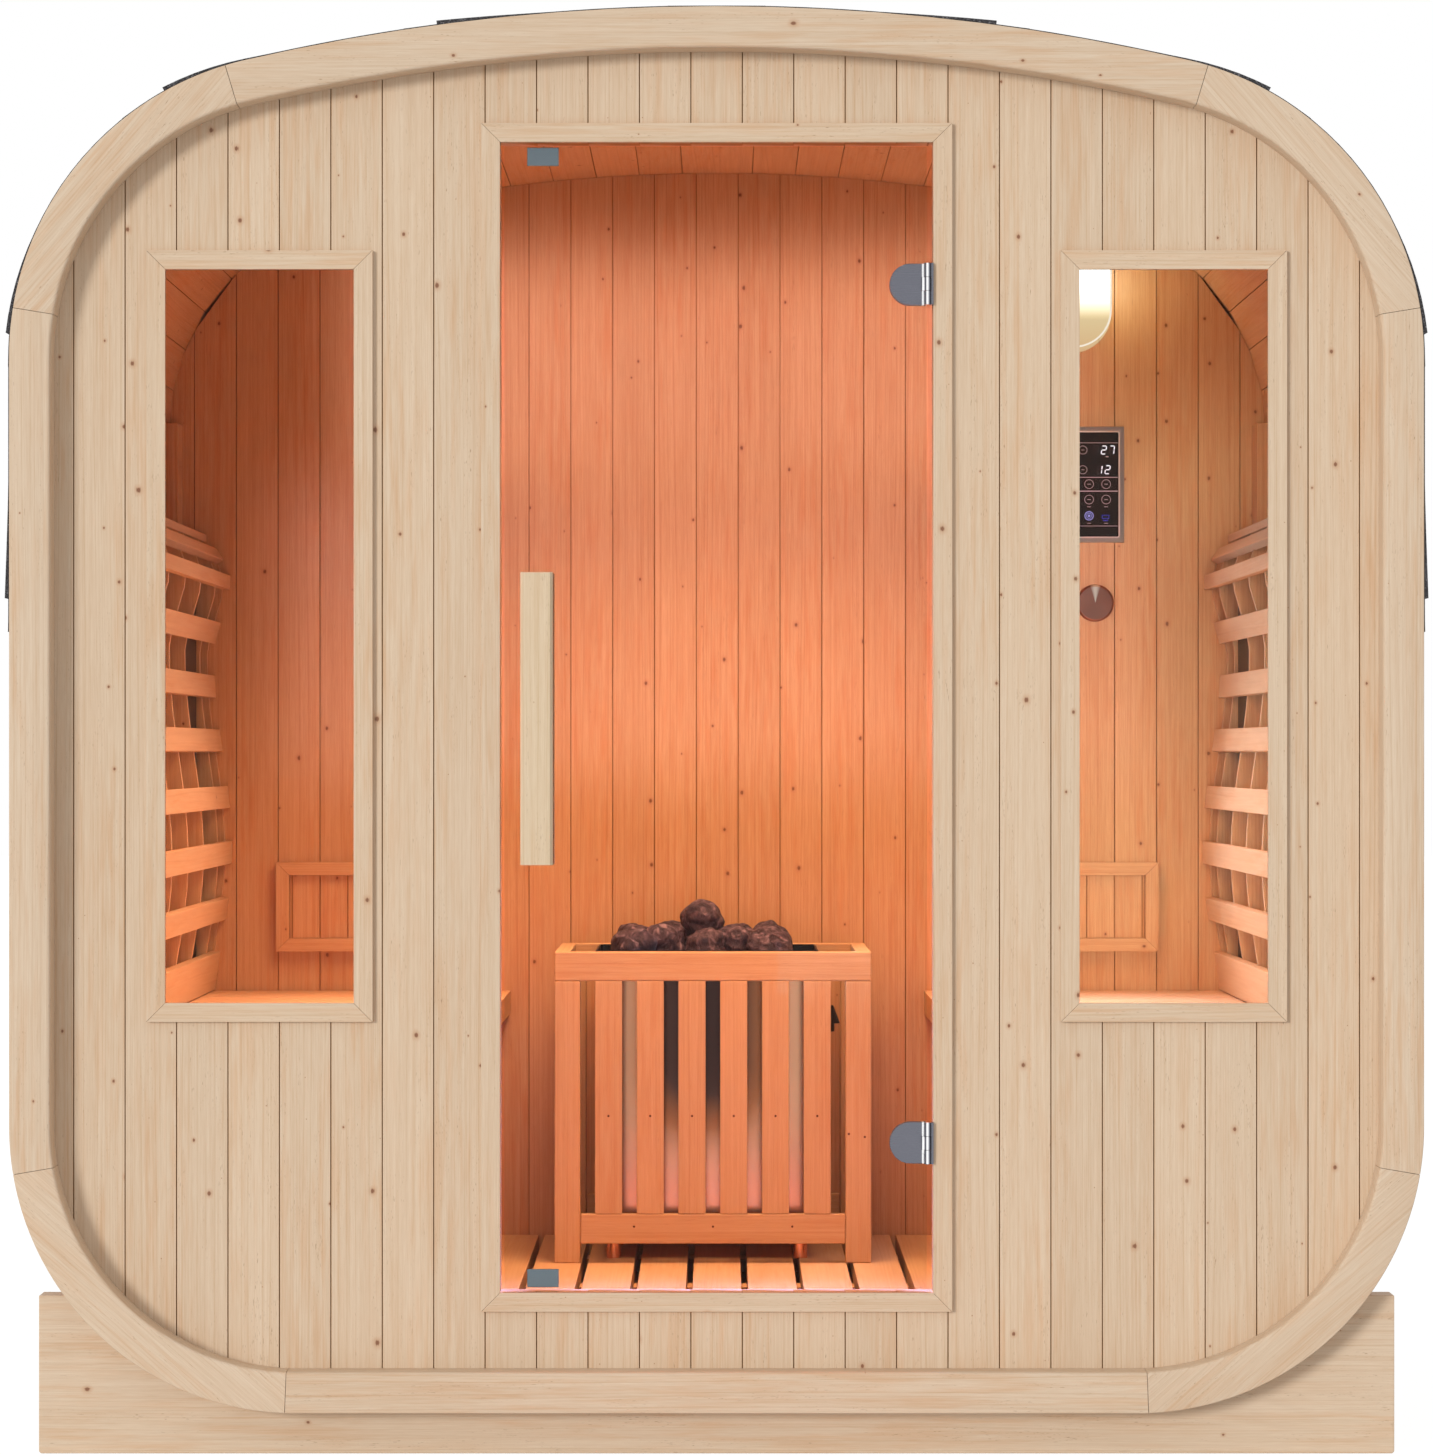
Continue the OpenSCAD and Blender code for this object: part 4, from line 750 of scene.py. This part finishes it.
def ring_pieces(name, node, turn):
    """Eight pieces of a ring: the section carried along the outline, the grain along each chord."""
    g, h = (math.degrees(RING_GAP / 2 / r) for r in (SHOULDER_R, HAUNCH_R))
    crown = np.concatenate([stations(ROOF_C, ROOF_R, 90, ROOF_A),
                            stations(SHOULDER_C, SHOULDER_R, ROOF_A, ROOF_A - TOP_OVER + g)[1:]])
    foot = stations(HAUNCH_C, HAUNCH_R, BOTTOM_OVER - 90 - h, -90)
    upper = stations(SHOULDER_C, SHOULDER_R, ROOF_A - TOP_OVER - g, SHOULDER_OVER + g)
    side = np.concatenate([stations(SHOULDER_C, SHOULDER_R, SHOULDER_OVER - g, 0),
                           stations(HAUNCH_C, HAUNCH_R, 0, h - HAUNCH_OVER)])
    lower = stations(HAUNCH_C, HAUNCH_R, -HAUNCH_OVER - h, BOTTOM_OVER - 90 + h)
    paths = [(np.concatenate([mirrored(crown), crown[1:]]), 1), (np.concatenate([foot, mirrored(foot)]), 1)]
    paths += [(p, s) for p in (upper, side, lower) for s in (1, -1)]
    verts, faces, grain, number = [], [], [], []
    offset, tone = sticks(len(paths))
    n = len(RING_SECTION)
    count = 0
    for (path, mirror), o, t in zip(paths, offset, tone):
        out = unit(path[:, 2])
        flat = path[:, None, :2] - (RING_W - RING_SECTION[None, :, :1]) * out[:, None]
        flat = flat * [mirror, 1]
        depth = np.broadcast_to(RING_SECTION[None, :, 1], flat.shape[:2])
        chord = flat[-1, 0] - flat[0, 0]
        chord = chord / np.linalg.norm(chord)
        along = flat @ chord
        across = flat @ np.array([-chord[1], chord[0]])
        verts.append(np.stack([flat[..., 0], turn * (RING_FRONT + depth), flat[..., 1]], -1).reshape(-1, 3))
        grain.append((np.stack([across, depth, along], -1) + o).reshape(-1, 3))
        number.append(np.full(flat.shape[0] * n, t))
        faces += [[p + count for p in f] for f in loop_faces(len(path), n)]
        count += len(path) * n
    piece = new_piece(name, np.concatenate(verts), faces, RING_SPRUCE, "cabin", "ring_wood", node)
    lay_grain(piece.data, np.concatenate(grain), np.concatenate(number))
    outward(piece.data)
    piece.data.polygons.foreach_set("use_smooth", np.ones(len(piece.data.polygons), bool))
    piece.data.set_sharp_from_angle(angle=math.radians(40))
    return piece


ring_pieces("front_ring_pieces", "front_ring", 1)
ring_pieces("back_ring_pieces", "back_ring", -1)


# ---------------------------------------------------------------- shingles

COURSE, CORNER_COURSE, CROWN = 187.5 * MM, 211 * MM, 209 * MM
butts = np.cumsum([CROWN] + [COURSE] * 2 + [CORNER_COURSE] * 3 + [COURSE] * 3)
TAB_PITCH = 333 * MM
TAB_CUT = 140 * MM
FELT_IN = 4 * MM
FELT_LAP = 20 * MM
# How far up from its lower edge a sheet lies lifted
FELT_WEDGE = 160 * MM
# Where a tab's foot ends and its notch begins, and the same mirrored, as shares of the pitch
TAB_BENDS = np.array([0.17, 0.33, 0.67, 0.83])


def tab_wave(y, nose_first):
    """0 along a tab's foot and 1 in the notch between two tabs, with slanted sides between."""
    turn = ((y - (RING_FRONT + FELT_IN)) / TAB_PITCH + (0.0 if nose_first else 0.5)) % 1
    return np.interp(np.minimum(turn, 1 - turn), TAB_BENDS[:2], (0, 1))


def felt_lift(d):
    """Height of a sheet's face over the outline, at distance d above its lower edge."""
    return (1.5 + 5.0 * np.clip(1 - d / FELT_WEDGE, 0, 1) ** 1.2) * MM


def felt_sheets(name, node, mirror, crown):
    """Courses of felt with six-sided tabs.

    At each place along the ridge the sheet's section is a closed loop in the length down the outline:
    down its face, round the cut edge and back under it. The foot of the loop moves up by the cut's
    depth times the tab wave. The courses differ by half a tab.
    """
    length = -2 * (RING_FRONT + FELT_IN)
    bends = TAB_PITCH * (np.arange(math.ceil(length / TAB_PITCH))[:, None] + TAB_BENDS).ravel()
    ys = np.unique(np.round(np.concatenate([bends[bends < length], np.linspace(0, length, 40)]), 5))
    ys = ys + RING_FRONT + FELT_IN
    steps = np.linspace(0, 1, 16)
    verts, faces, count = [], [], 0
    for i, butt in enumerate(butts):
        if i == 0 and not crown:
            continue
        foot = butt - TAB_CUT * tab_wave(ys, i % 2 == 1)
        if i == 0:
            head = TAB_CUT * tab_wave(ys, False) - CROWN
        else:
            head = np.full(len(ys), butts[i - 1] - TAB_CUT - FELT_LAP)
        s = head[:, None] + (foot - head)[:, None] * steps
        gap = butt - np.abs(s) if i == 0 else butt - s
        face = felt_lift(gap)
        if i == 0:
            face = np.minimum(face, (1.2 + 5 * (np.abs(s) / CROWN) ** 2) * MM)
        under = np.where(gap < FELT_WEDGE, 1.55 * MM, 0.7 * MM)
        under = np.minimum(under, face - 0.3 * MM)
        lift = np.concatenate([face, under[:, ::-1]], 1)
        run = np.concatenate([s, s[:, ::-1]], 1)
        flat = on_outline(np.abs(run), lift)
        flat[..., 0] *= np.where(run < 0, -1, 1) * mirror
        ring = np.stack([flat[..., 0], np.broadcast_to(ys[:, None], run.shape), flat[..., 1]], -1)
        verts.append(ring.reshape(-1, 3))
        faces += [[p + count for p in f] for f in loop_faces(len(ys), run.shape[1])]
        count += ring.shape[0] * ring.shape[1]
    piece = new_piece(name, np.concatenate(verts), faces, FELT, "cabin", "shingle", node)
    outward(piece.data)
    return piece


felt_sheets("felt_tabs_right", "shingles_right", 1, False)
felt_sheets("felt_tabs_left", "shingles_left", -1, True)


# ---------------------------------------------------------------- timber kept from the frame

for node, slot, material in (
        ("window_casings", "casing_wood", SPRUCE), ("door_casing", "casing_wood", SPRUCE),
        ("floor_slats", "floor_wood", BENCH_SPRUCE), ("floor_joists", "floor_wood", CABIN_SPRUCE),
        ("bench_slats", "bench_wood", BENCH_SPRUCE), ("bench_nosings", "bench_wood", BENCH_SPRUCE),
        ("bench_bearers", "bench_wood", BENCH_SPRUCE), ("backrest_slats_left", "backrest_wood", BENCH_SPRUCE),
        ("backrest_slats_right", "backrest_wood", BENCH_SPRUCE),
        ("corner_battens", "wall_wood", CABIN_SPRUCE),
        ("guard_slats", "guard_wood", BENCH_SPRUCE), ("low_panel_frames", "casing_wood", CABIN_SPRUCE),
        ("cradles", "cradle_wood", RING_SPRUCE)):
    eased(node, material, "cabin", slot, arris=0.4 * MM if slot == "casing_wood" else 1.2 * MM)
eased("backrest_ribs", BENCH_SPRUCE, "cabin", "backrest_wood", arris=0.5 * MM)
eased("guard_frame", BENCH_SPRUCE, "cabin", "guard_wood", arris=2.2 * MM)
eased("door_handle", HANDLE_SPRUCE, "door", "handle_wood", arris=3.5 * MM, smooth=True)
eased("hinge_plates", STEEL, "door", "hinge_steel", arris=0.6 * MM, smooth=True)
eased("hinge_leaves", STEEL, "cabin", "hinge_steel", arris=0.4 * MM, smooth=True)
eased("door_catches", CATCH_STEEL, "door", "catch_steel", arris=0.5 * MM)
eased("heat_emitters", EMITTER, "cabin", "emitter_black")
eased("stone_tray", BLACK_PAINT, "cabin", "tray_black", arris=0.5 * MM)
stove = eased("stove_body", CASING_STEEL, "cabin", "stove_steel", arris=0.8 * MM, smooth=True)
stove.data.materials.append(BLACK_PAINT)
tray_high = np.array(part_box("stone_tray")[1])
middles = np.empty(len(stove.data.polygons) * 3)
stove.data.polygons.foreach_get("center", middles)
on_cap = middles.reshape(-1, 3)[:, 0] > tray_high[0] - 5 * MM
stove.data.polygons.foreach_set("material_index", on_cap.astype(np.int32))
eased("wall_lamp", LAMP, "cabin", "lamp_glass", arris=3 * MM, smooth=True)
eased("control_panel", ALUMINIUM, "cabin", "panel_aluminium", arris=0.8 * MM)
eased("round_vent", CHROME, "cabin", "vent_chrome", arris=0.8 * MM, smooth=True)
eased("window_glass", GLASS, "cabin", "window_glass", arris=0.5 * MM)
eased("door_glass", GLASS, "door", "door_glass", arris=0.8 * MM)


# ---------------------------------------------------------------- boards of the low panels

low_low, low_high = (np.array(v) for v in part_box("low_panel_boards"))
LOW_PITCH = 48.5 * MM
LOW_OUT, LOW_IN = low_high[0], 464 * MM
lines = np.unique(np.concatenate([[LOW_IN, LOW_OUT], np.arange(500.5 * MM, LOW_OUT, LOW_PITCH)]))
low_x = np.stack([lines[:-1], lines[1:]], 1)
low_x = np.concatenate([low_x, -low_x[:, ::-1]])
low_sides = [np.stack(np.broadcast_arrays(low_x[:, i], y), -1)
             for i, y in ((0, low_low[1]), (1, low_low[1]), (1, low_high[1]), (0, low_high[1]))]
low_loops, low_local, low_joint = board_loop(*low_sides, 1.0, 1.0)
prisms("low_panel_uprights", low_loops, low_local, low_low[2], low_high[2], np.arange(len(low_x)),
       lambda p, q, w: np.stack([p, q, w], -1), CABIN_SPRUCE, "cabin", "wall_wood", "low_panel_boards",
       in_joint=low_joint)


# ---------------------------------------------------------------- stones

def stones():
    """Lumpy stones over the CAD ones: a ball on a grid of two angles, its radius changed by waves.

    The waves' crests are rounded off and their troughs left sharp, which gives worn faces and clefts.
    Every stone is a little wider than its CAD one and moved by a few millimetres, inside the pile's box.
    """
    mesh = merged("stones")
    low, high = solids_of(mesh)[2:]
    bpy.data.meshes.remove(mesh)
    rows, cols = 44, 72
    lat = np.linspace(0, math.pi, rows + 2)[1:-1, None]
    lon = np.arange(cols)[None] * 2 * math.pi / cols
    ball = np.sin(lat) * np.cos(lon), np.sin(lat) * np.sin(lon), np.cos(lat)
    ball = np.stack(np.broadcast_arrays(*ball), -1)
    ball = np.concatenate([ball.reshape(-1, 3), [[0, 0, 1], [0, 0, -1]]])
    r = np.arange(rows - 1)[:, None] * cols
    c = np.arange(cols)[None]
    k = (c + 1) % cols
    faces = np.stack([r + c, r + cols + c, r + cols + k, r + k], -1).reshape(-1, 4).tolist()
    pole, foot, last = rows * cols, rows * cols + 1, (rows - 1) * cols
    faces += [[pole, i, (i + 1) % cols] for i in range(cols)]
    faces += [[foot, last + (i + 1) % cols, last + i] for i in range(cols)]
    verts = []
    for lo, hi in zip(low, high):
        wave = dice.normal(0, 1, (30, 3)) * np.repeat([1.7, 3.6, 7.5], 10)[:, None]
        phase = dice.uniform(0, 2 * math.pi, 30)
        size = np.repeat([0.065, 0.036, 0.014], 10)
        crest = np.abs(np.sin((ball @ wave.T + phase) / 2))
        swell = (crest * size).sum(1) - 0.63 * size.sum()
        wide = (hi - lo) / 2 * [1.24, 1.12, 1.03]
        shape = ball * wide * (1 + 1.5 * swell)[:, None]
        shape = shape - (shape.max(0) + shape.min(0)) / 2
        shape = shape * np.minimum(1, wide / shape.max(0)) + (lo + hi) / 2
        shape = shape + dice.uniform(-5, 5, 3) * [1, 1, 0] * MM
        shape = shape + np.maximum(0, low.min(0) - shape.min(0)) - np.maximum(0, shape.max(0) - high.max(0))
        verts.append(shape)
    return new_piece("olivine_stones", np.concatenate(verts), many(faces, len(low), len(ball)), STONE,
                     "cabin", "stove_stone", "stones", smooth=True)


stones()


# ---------------------------------------------------------------- marks on the fittings

def plates(name, loops, y0, y1, material, slot):
    """Flat plates from depth y0 to y1, each a closed loop of places across and up."""
    verts, faces, count = [], [], 0
    for loop in loops:
        loop = np.asarray(loop, float)
        verts += [np.insert(loop, 1, y, axis=1) for y in (y0, y1)]
        faces += [[p + count for p in f] for f in loop_faces(2, len(loop))]
        count += 2 * len(loop)
    piece = new_piece(name, np.concatenate(verts), faces, material, "cabin", slot)
    outward(piece.data)
    return piece


def hoops(name, outlines, y0, y1, material, slot):
    """Flat closed bands from depth y0 to y1, each between an outer and an inner loop."""
    verts, faces, count = [], [], 0
    for outer, inner in outlines:
        corners = ((outer, y0), (inner, y0), (inner, y1), (outer, y1))
        verts += [np.insert(loop, 1, y, axis=1) for loop, y in corners]
        faces += [[p + count for p in f] for f in loop_faces(4, len(outer), closed=True)]
        count += 4 * len(outer)
    piece = new_piece(name, np.concatenate(verts), faces, material, "cabin", slot)
    outward(piece.data)
    return piece


def disc(x, z, r, n=24):
    return np.array([x, z]) + r * unit(np.arange(n) * 360 / n)


def bar(x, z, w, h):
    return np.array([x, z]) + np.array([[-w, -h], [w, -h], [w, h], [-w, h]]) / 2


def soft_box(x0, z0, x1, z1, r):
    """A rectangle with round corners."""
    return rounded_section(x1 - x0, z1 - z0, [r] * 4) + [x0, z0]


panel_low, panel_high = (np.array(v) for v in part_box("control_panel"))
RIM = 8 * MM
face = [panel_low[0] + RIM, panel_low[2] + RIM, panel_high[0] - RIM, panel_high[2] - RIM]
face_y = panel_low[1] + 1.2 * MM
inner_face = soft_box(*(np.array(face) + np.array([1.7, 1.7, -1.7, -1.7]) * MM), 2.5 * MM)
plates("panel_face", [inner_face], face_y, face_y + 0.7 * MM, PANEL_BLACK, "panel_aluminium")
outer_face = soft_box(*(np.array(face) + np.array([0.1, 0.1, -0.1, -0.1]) * MM), 4 * MM)
hoops("panel_bright_edge", [(outer_face, inner_face)], panel_low[1] + 0.2 * MM, face_y + 0.7 * MM,
      BRIGHT_TRIM, "panel_aluminium")


def mark(name, material, loops=(), rings=(), lift=0.2 * MM):
    """Marks on the panel's face, in millimetres from its lower left corner."""
    corner = panel_low[[0, 2]]
    y0, y1 = face_y - lift, face_y - 0.02 * MM
    if len(loops):
        plates(name, [corner + np.asarray(loop) * MM for loop in loops], y0, y1, material, "panel_aluminium")
    if len(rings):
        pairs = [(corner + MM * disc(x, z, r), corner + MM * disc(x, z, r - w)) for x, z, r, w in rings]
        hoops(name + "_rings", pairs, y0, y1, material, "panel_aluminium")


SEGMENTS = {"top": (0, 1, 1), "middle": (0, 0, 1), "bottom": (0, -1, 1), "upper_right": (1, 0.5, 0),
            "upper_left": (-1, 0.5, 0), "lower_right": (1, -0.5, 0), "lower_left": (-1, -0.5, 0)}
DIGITS = {"1": ("upper_right", "lower_right"), "7": ("top", "upper_right", "lower_right"),
          "2": ("top", "upper_right", "middle", "lower_left", "bottom"), "8": tuple(SEGMENTS)}


def digit(x, z, figure):
    """The lit bars of a slanted seven-bar digit, 10 mm wide and 16 mm high."""
    loops = []
    for name in DIGITS[figure]:
        right, up, flat = SEGMENTS[name]
        half = [3.1, 0.8] if flat else [0.8, 2.9]
        loop = np.array([[-half[0], -half[1]], [half[0], -half[1]], [half[0], half[1]], [-half[0], half[1]]])
        loop = loop + [right * 3.9, up * 7.0]
        loops.append(loop + [x, z] + np.stack([loop[:, 1] * 0.12, np.zeros(4)], -1))
    return loops


rows_z = [161.2, 126.7]
mark("panel_unlit_digits", UNLIT, [b for x, z in ((74.5, rows_z[0]), (88.5, rows_z[0]), (102.5, rows_z[0]),
                                                 (81, rows_z[1]), (95, rows_z[1])) for b in digit(x, z, "8")],
     lift=0.1 * MM)
mark("panel_lit_digits", LIT_DIGIT, digit(88.5, rows_z[0], "2") + digit(102.5, rows_z[0], "7")
     + digit(81, rows_z[1], "1") + digit(95, rows_z[1], "2"))
rules = ((173.7, 0.9), (113.4, 1.3), (89.3, 1.8), (28.4, 0.9))
mark("panel_print", PRINT, [bar(62, z, 102, h) for z, h in rules]
     + [bar(x, z, 6, 1.1) for x in (32.7, 62.7, 92.5) for z in (101.5, 74.6)]
     + [bar(x, z, 7, 0.9) for x in (32.7, 62.7, 92.5) for z in (62, 33.2)]
     + [bar(x, z, 5, 1) for x in (52, 20) for z in rows_z] + [bar(94, 149.5, 5, 1.6)],
     [(x, z, 8.2, 0.9) for x in (32.7, 62.7, 92.5) for z in (101.5, 74.6)]
     + [(x, z, 7.6, 0.9) for x in (52, 20) for z in rows_z])
mark("panel_key_light", KEY_LIGHT, [disc(62.7, 46.2, 2.2)], [(62.7, 46.2, 8.0, 1.4), (62.7, 46.2, 4.9, 0.9)])
mark("panel_bar_light", BAR_LIGHT, [
    bar(91.5, 47.2, 13, 1.2), bar(91.5, 41.6, 13, 1.2), bar(85.6, 44.4, 1.2, 6),
    bar(97.4, 44.4, 1.2, 6), bar(91.5, 38, 9, 2)])

lamp_low, lamp_high = (np.array(v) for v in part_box("wall_lamp"))
shade_x, shade_r = (lamp_low[0] + lamp_high[0]) / 2, (lamp_high[0] - lamp_low[0]) / 2 - 4 * MM
shade_z = lamp_low[2] + (lamp_high[0] - lamp_low[0]) / 2
SHADE_RIM_W = 3.5 * MM
SHADE_SIDE = 0.125
MARK_BACK = lamp_low[1] + 0.4 * MM
below = unit(np.linspace(0, -180, 41))
rim_path = np.concatenate([[[shade_r, SHADE_SIDE]], shade_r * below, [[-shade_r, SHADE_SIDE]]])
inner_path = rim_path * [1 - SHADE_RIM_W / shade_r, 1]
inner_path[1:-1] = (shade_r - SHADE_RIM_W) * below
rim = np.concatenate([rim_path, inner_path[::-1]]) + [shade_x, shade_z]
plates("lamp_rim", [rim], lamp_low[1], MARK_BACK, SHADE_RIM, "lamp_glass")
# The edge of the clear glass, level and upright, and beside the upright one a painted highlight: a glowing
# square for a reflection on the glass
lines = [bar(shade_x + 18 * MM, 1.7653, 90 * MM, 0.9 * MM), bar(0.6627, 1.736, 0.9 * MM, 58 * MM)]
plates("lamp_lines", lines, lamp_low[1] + 0.05 * MM, MARK_BACK, SHADE_LINE, "lamp_glass")
# painted highlight: a glowing square stands in for a reflection on the glass
plates("lamp_spark", [bar(0.641, 1.7455, 12 * MM, 18 * MM)], lamp_low[1] + 0.02 * MM, MARK_BACK, SPARK,
       "lamp_glass")

guard_low = np.array(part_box("guard_frame")[0])
nails = [(x, 398) for x in -179.5 + 69 * np.arange(6)] + [(-137.3, 215.3), (-6.9, 215.3), (124.1, 215.3),
                                                         (217.6, 368.3), (244, 363.4)]
plates("guard_nails", [disc(x * MM, z * MM, 1.9 * MM, 14) for x, z in nails], guard_low[1] - 0.15 * MM,
       guard_low[1] + 0.5 * MM, NAIL, "guard_wood")


# ---------------------------------------------------------------- stage, light and camera

FLOOR_HALF = 40.0
floor_material, tree, out = start_material("pale_floor")
matt = add(tree, "BsdfDiffuse", {"Color": (0.8, 0.8, 0.8, 1)})
white = add(tree, "Emission", {"Color": (1, 1, 1, 1), "Strength": 1.22})
share = reckon(tree, "MULTIPLY", seen_directly(tree), 0.75)
finish_surface(tree, out, add(tree, "MixShader", {0: share, 1: matt.outputs[0], 2: white.outputs[0]}))
floor_mesh = bpy.data.meshes.new("floor")
floor_mesh.from_pydata([(-FLOOR_HALF, -FLOOR_HALF, 0), (FLOOR_HALF, -FLOOR_HALF, 0),
                        (FLOOR_HALF, FLOOR_HALF, 0), (-FLOOR_HALF, FLOOR_HALF, 0)], [], [[0, 1, 2, 3]])
floor_mesh.materials.append(floor_material)
floor = bpy.data.objects.new("floor", floor_mesh)
bpy.context.scene.collection.objects.link(floor)

world = bpy.data.worlds.new("studio")
bpy.context.scene.world = world
world.use_nodes = True
world.node_tree.nodes.clear()
tree = world.node_tree
ambient = add(tree, "Background", {"Color": (1, 1, 1, 1), "Strength": 0.65})
backdrop = add(tree, "Background", {"Color": (1, 1, 1, 1), "Strength": 1.0})
mix = add(tree, "MixShader", {0: seen_directly(tree), 1: ambient.outputs[0], 2: backdrop.outputs[0]})
tree.links.new(mix.outputs[0], add(tree, "OutputWorld").inputs["Surface"])


def lamp(name, kind, place, towards, strength, tint, spread=180, **settings):
    """A light at a place, turned to point in a direction; only the things it lights show it."""
    data = bpy.data.lights.new(name, kind)
    data.color = tint
    data.energy = strength
    if kind == "AREA":
        data.shape = "RECTANGLE"
        data.spread = math.radians(spread)
    for key, value in settings.items():
        setattr(data, key, value)
    obj = bpy.data.objects.new(name, data)
    bpy.context.scene.collection.objects.link(obj)
    obj.location = place
    obj.rotation_euler = Vector(towards).to_track_quat("-Z", "Y").to_euler()
    obj.visible_camera = False
    obj.visible_glossy = False
    return obj


# The studio's key from the left and a little above, as even as a far window
KEY_A, KEY_RISE = math.radians(32.6), math.radians(10)
lamp("key", "SUN", (-4, -6, 3), (math.sin(KEY_A), math.cos(KEY_A), -math.tan(KEY_RISE)), 0.53 * math.pi,
     (1, 1, 1), angle=math.radians(14))
# The glow in the cabin, fitted area by area: place, direction, watts, tint, spread in degrees, width, height
GLOWS = (
    ("ceiling_glow", (0, -0.1, 1.8), (0, 0, -1), 21, (1, 0.53, 0.3), 120, 0.6, 1.0),
    ("high_glow", (0, -0.77, 1.67), (0, 1, 0), 1.36, (1, 0.61, 0.64), 10, 1.25, 0.4),
    ("middle_glow", (0, -0.77, 1.21), (0, 1, 0), 0.93, (1, 0.66, 0.9), 10, 1.5, 0.52),
    ("front_glow", (0, -0.77, 0.5), (0, 1, 0), 0.78, (1, 0.35, 0.42), 22, 1.7, 0.6),
    ("left_down", (-0.62, -0.1, 1.2), (0, 0, -1), 3.3, (1, 0.5, 0.4), 60, 0.4, 1.3),
    ("right_down", (0.62, -0.1, 1.2), (0, 0, -1), 3.8, (1, 0.9, 1.3), 60, 0.4, 1.3),
    ("left_glow", (-0.1, -0.1, 0.95), (-1, 0, 0), 1.1, (0.6, 0.7, 1), 80, 1.3, 0.7),
    ("floor_glow", (0, -0.6, 1.1), (0, 0.1, -1), 6.2, (0.3, 0.5, 1.6), 62, 0.6, 0.3),
    ("right_glow", (0.1, -0.1, 0.95), (1, 0, 0), 3.8, (0.2, 0.75, 1.3), 80, 1.3, 0.7),
    ("wall_glow", (0.76, -0.77, 1.08), (0, 1, 0), 0.6, (0.98, 0.98, 0.8), 16, 0.44, 1.04),
)
for name, place, towards, watts, tint, spread, wide, high in GLOWS:
    lamp(name, "AREA", place, towards, watts, tint, spread=spread, size=wide, size_y=high)
lamp("lamp_glow", "POINT", (0.705, 0.69, 1.8), (0, 1, 0), 0.25, (1, 0.8, 0.42), shadow_soft_size=0.03)

camera_data = bpy.data.cameras.new("camera")
camera = bpy.data.objects.new("camera", camera_data)
bpy.context.scene.collection.objects.link(camera)
camera.location = (0.005, -7.825, 0.996)
camera.rotation_euler = (math.pi / 2, 0, 0)
camera_data.lens = 121.7
camera_data.sensor_width = 36
camera_data.shift_x = -0.0025
camera_data.shift_y = 0.0182
bpy.context.scene.camera = camera
bpy.context.scene.view_settings.view_transform = "Standard"
